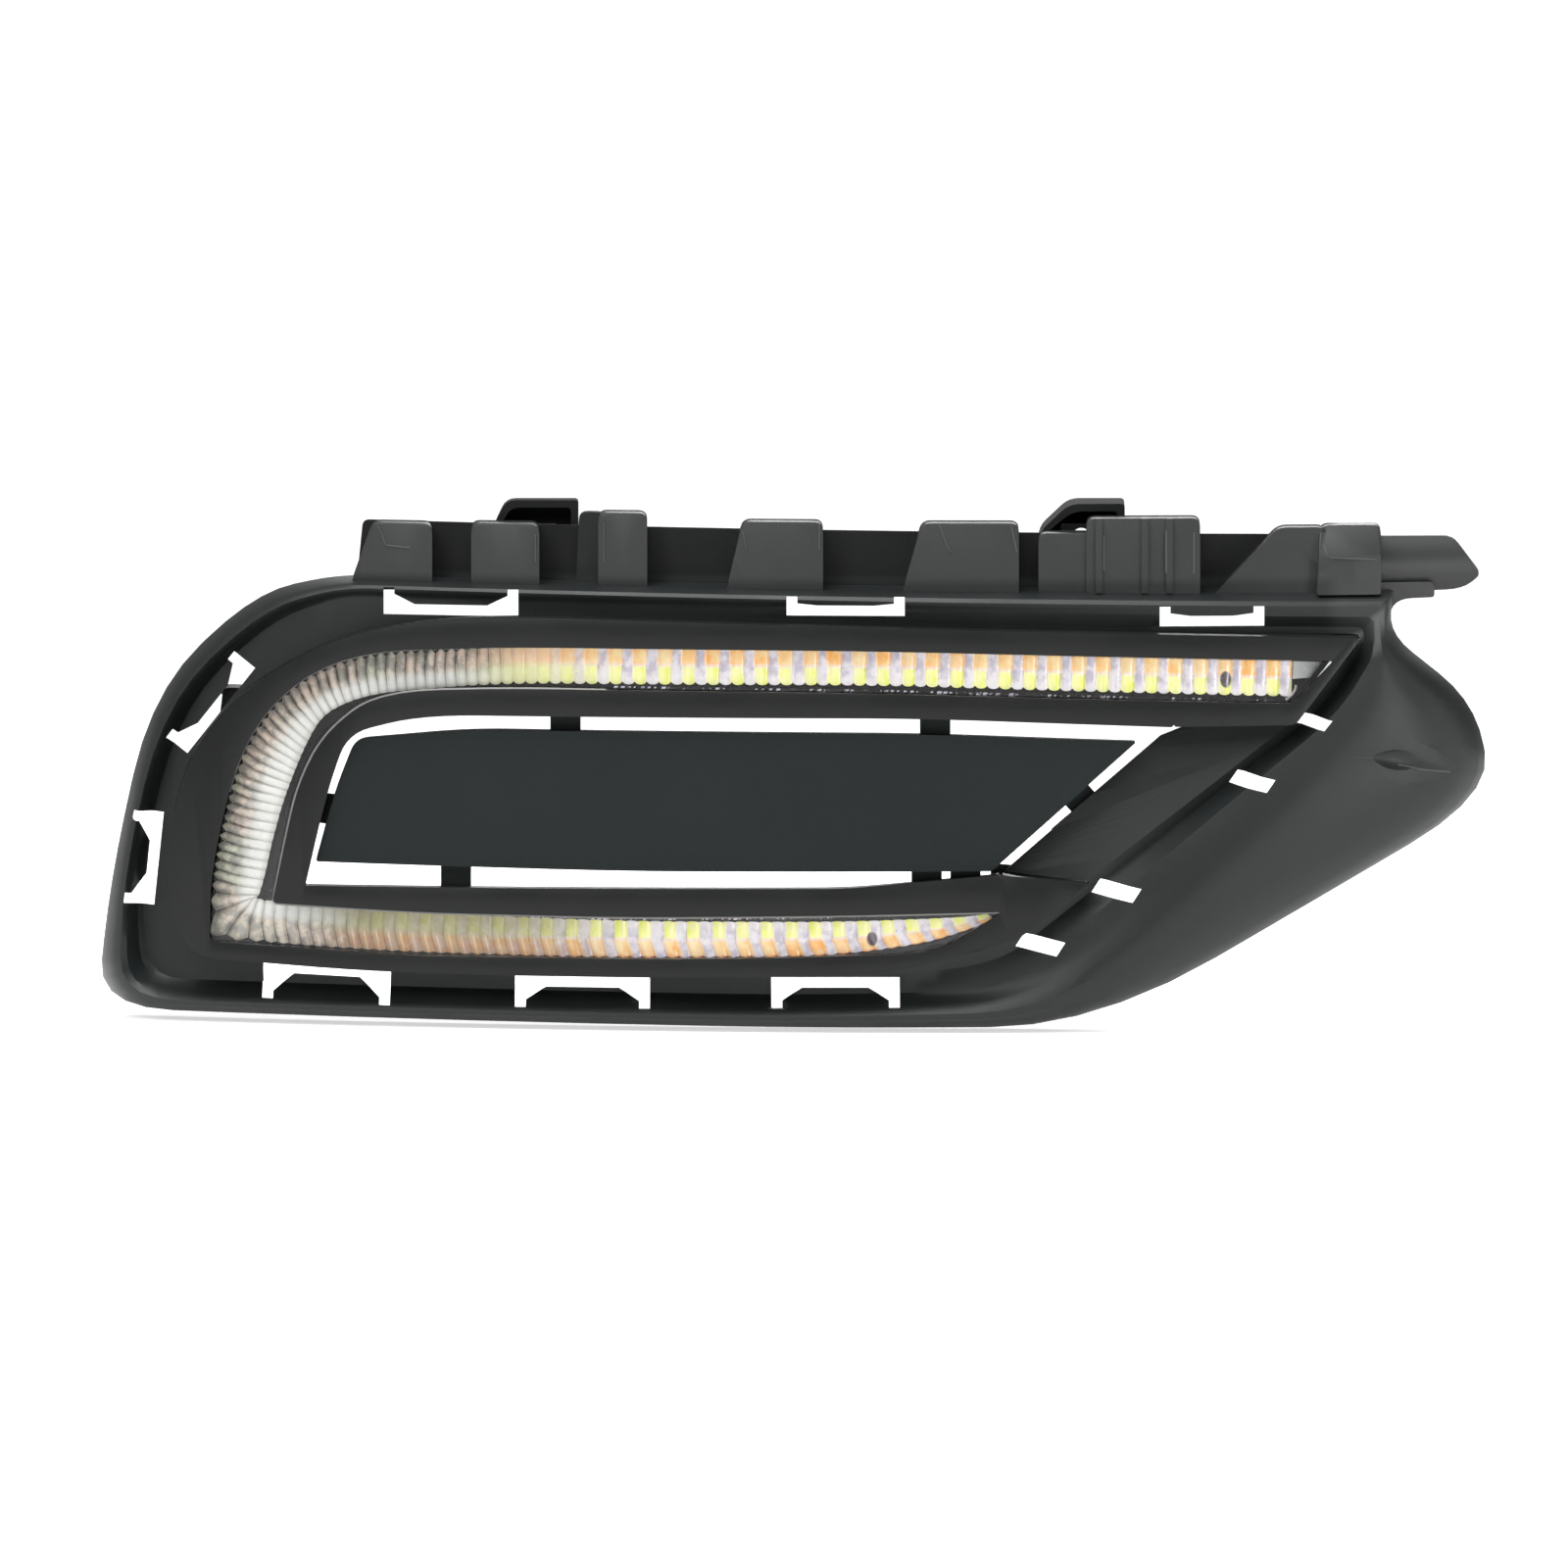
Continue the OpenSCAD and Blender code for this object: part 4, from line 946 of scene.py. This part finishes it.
def edge_facets():
    """Small facets of the lens edge beside the flutes, which carry painted glints."""
    work = bmesh.new()
    for start, end, count in facet_rows:
        for k in range(count):
            chance = chance_for(k + start[0])
            p = Vector(start).lerp(Vector(end), (k + 0.3 + 0.4 * chance) / count)
            size = Vector((0.5 + 0.9 * chance, 0.5, 0.35 + 0.3 * chance)) * mm
            home = on_bow(p.x, p.y, 4.6)
            for v in bmesh.ops.create_cube(work, size=1.0)["verts"]:
                v.co = Vector((v.co.x * size.x + v.co.z * 0.0002, v.co.y * size.y, v.co.z * size.z)) + home
    return closed_mesh(work, "edge_facets", 20)


def facet_finish():
    """Dark clear plastic with painted pale glints, which stand for reflections of the flutes."""
    made, tree, shader, place = material("facet_clear_acrylic", Roughness=0.15, Coat_Weight=1.0)
    # Painted glints: pale spots that stand for reflections of the flutes.
    spark = ramp_between(tree, noise(tree, place, 160.0, 3.0, 0.7), 0.47, 0.56)
    feed(tree, shader.inputs["Base Color"], mixed(tree, spark, (0.03, 0.027, 0.03), (0.80, 0.76, 0.90)))
    return made


piece("edge_facets", edge_facets(), facet_finish())

# Middle lines of the strips past the two ends of the trim: [x, z]
strip_lines = [
    [(149, -26.2), (163.6, -26.9), (166.4, -32)],
    [(54, low + 47.5), (70, low + 46.2), (85, low + 44.5)]]


def closing_strips():
    """Dark strips behind the two ends of the trim, which close its gap to the frame."""
    work = bmesh.new()
    for line in strip_lines:
        sheet(work, [band_ring(Vector(p), side_at(line, i), -1.6, 2.2, 14.7, 15.5)
                     for i, p in enumerate(line)])
    return closed_mesh(work, "closing_strips", 30)


piece("closing_strips", closing_strips(), frame_plastic)


# Edges that catch the light, as seen by the camera: [x, height] on the plane of the picture
lit_lines = [
    ((-127.6, 7.0), (-125.3, 1.2), (-117.5, 0.3)),
    ((-80.9, 4.4), (-80.9, -4.9)),
    ((-60.6, 8.4), (-60.6, -5.5)),
    ((-19.6, 6.0), (-18.2, -0.9)),
    ((3.2, 7.6), (3.2, -1.5)),
    ((38.6, 7.3), (42.3, -2.0)),
    ((60.0, 6.8), (61.9, -2.0)),
    ((87.4, 4.1), (87.4, -7.8)),
    ((105.9, 5.5), (105.9, -8.7)),
    ((114.1, 5.0), (114.1, -9.0)),
    ((152.5, 1.7), (154.0, -2.6), (170.3, -3.2)),
    ((174.6, -63.8), (182.7, -65.5), (191.1, -66.1))]
view_line = Vector((0.0, cos(camera_tilt), -sin(camera_tilt)))


def lit_edges():
    """Fine beads half sunk in the front of the moulding, where its creases are, lighter grey as a painted
    highlight of the creases.
    """
    work = bmesh.new()
    mesh = frame_moulding.data
    skin = BVHTree.FromPolygons([v.co for v in mesh.vertices], [p.vertices for p in mesh.polygons])
    rise = Vector((0.0, sin(camera_tilt), cos(camera_tilt)))
    steps, before_skin, largest_step = 9, 0.3, 2.5
    for line in lit_lines:
        points = []
        for a, b in zip(line, line[1:]):
            for k in range(steps):
                x, height = Vector(a).lerp(Vector(b), k / steps)
                start = Vector((x, -bow_home, 0.0)) * mm + rise * height * mm - view_line * before_skin
                hit = skin.ray_cast(start, view_line)[0]
                if hit:
                    points.append((x, hit.z / mm, depth_of(hit)))
        middle_depth = sorted(p[2] for p in points)[len(points) // 2]
        points = [p for p in points if abs(p[2] - middle_depth) < largest_step]
        if len(points) > 3:
            tube(work, points, 0.28, 6)
    return closed_mesh(work, "lit_edges", 60)


piece("lit_edges", lit_edges(), crease_highlight_finish)


# Stage, light and camera


def stage_floor():
    """White floor just under the part, which glows a little for the camera and in mirrors."""
    work = bmesh.new()
    bmesh.ops.create_grid(work, x_segments=1, y_segments=1, size=30.0)
    mesh = bpy.data.meshes.new("studio_floor")
    work.to_mesh(mesh)
    work.free()
    made, tree, shader, place = material(
        "studio_floor_paint", Roughness=0.9, Specular_IOR_Level=0.1, Emission_Color=(1.0, 1.0, 1.0))
    seen = add(tree, "ShaderNodeLightPath").outputs["Is Camera Ray"]
    mirrored = add(tree, "ShaderNodeLightPath").outputs["Is Glossy Ray"]
    glow = maths(tree, "MULTIPLY_ADD", mirrored, 0.3, times(tree, seen, 0.6))
    feed(tree, shader.inputs["Emission Strength"], glow)
    tone = noise(tree, place, 3.0, 2.0, 0.5)
    feed(tree, shader.inputs["Base Color"], mixed(tree, tone, (0.93, 0.93, 0.93), (0.96, 0.96, 0.96)))
    mesh.materials.append(made)
    ground = bpy.data.objects.new("studio_floor", mesh)
    ground.location.z = cad_box[0].z - 0.0004
    bpy.context.scene.collection.objects.link(ground)


def soft_light(name, place, target, width, height, power):
    data = bpy.data.lights.new(name, "AREA")
    data.shape = "RECTANGLE"
    data.size = width
    data.size_y = height
    data.energy = power
    made = bpy.data.objects.new(name, data)
    made.location = place
    made.rotation_euler = (Vector(target) - Vector(place)).to_track_quat("-Z", "Y").to_euler()
    bpy.context.scene.collection.objects.link(made)


stage_floor()
world = bpy.data.worlds.new("studio")
bpy.context.scene.world = world
world.use_nodes = True
sky = world.node_tree.nodes["Background"]
sky.inputs["Color"].default_value = (1.0, 1.0, 1.0, 1.0)
sky_seen = add(world.node_tree, "ShaderNodeLightPath").outputs["Is Camera Ray"]
feed(world.node_tree, sky.inputs["Strength"],
     maths(world.node_tree, "MULTIPLY_ADD", sky_seen, 0.8, 0.2))

sun_data = bpy.data.lights.new("overhead_sky", "SUN")
sun_data.energy = 1.5
sun_data.angle = radians(60)
sun = bpy.data.objects.new("overhead_sky", sun_data)
sun.rotation_euler = (radians(35), radians(-12), 0)
bpy.context.scene.collection.objects.link(sun)

middle_point = (0.0, 0.0, -0.07)
soft_light("top_softbox", (-0.1, -0.25, 0.8), middle_point, 0.9, 0.4, 9.0)
soft_light("right_softbox", (0.85, -0.1, 0.05), middle_point, 0.3, 0.5, 0.8)
soft_light("left_softbox", (-0.8, 0.05, 0.25), middle_point, 0.3, 0.5, 0.5)
soft_light("rear_softbox", (0.15, 0.9, 0.5), middle_point, 0.6, 0.4, 6.0)
soft_light("upper_left_softbox", (-0.55, -0.75, 0.45), (0.1, -0.05, -0.1), 0.3, 0.3, 2.2)
soft_light("low_right_softbox", (0.5, -0.45, -0.08), (0.12, 0.0, -0.12), 0.2, 0.1, 0.85)

# Pixel of the picture, from its top left, at which the origin of the frame is seen
origin_column = 825
origin_row = 560
camera_data = bpy.data.cameras.new("camera")
camera_data.lens = 1200.0
camera_data.sensor_width = 36.0
camera_data.clip_start = 0.1
camera_data.clip_end = 100.0
camera = bpy.data.objects.new("camera", camera_data)
bpy.context.scene.collection.objects.link(camera)
bpy.context.scene.camera = camera
aim_x = (picture / 2 - origin_column) * pixel
aim_z = (origin_row - picture / 2) * pixel / cos(camera_tilt)
aim = Vector((aim_x, -bow_home, aim_z)) * mm
distance = picture * pixel * mm / camera_data.sensor_width * camera_data.lens
camera.location = aim - view_line * distance
camera.rotation_euler = view_line.to_track_quat("-Z", "Y").to_euler()

bpy.context.scene.view_settings.view_transform = "Standard"
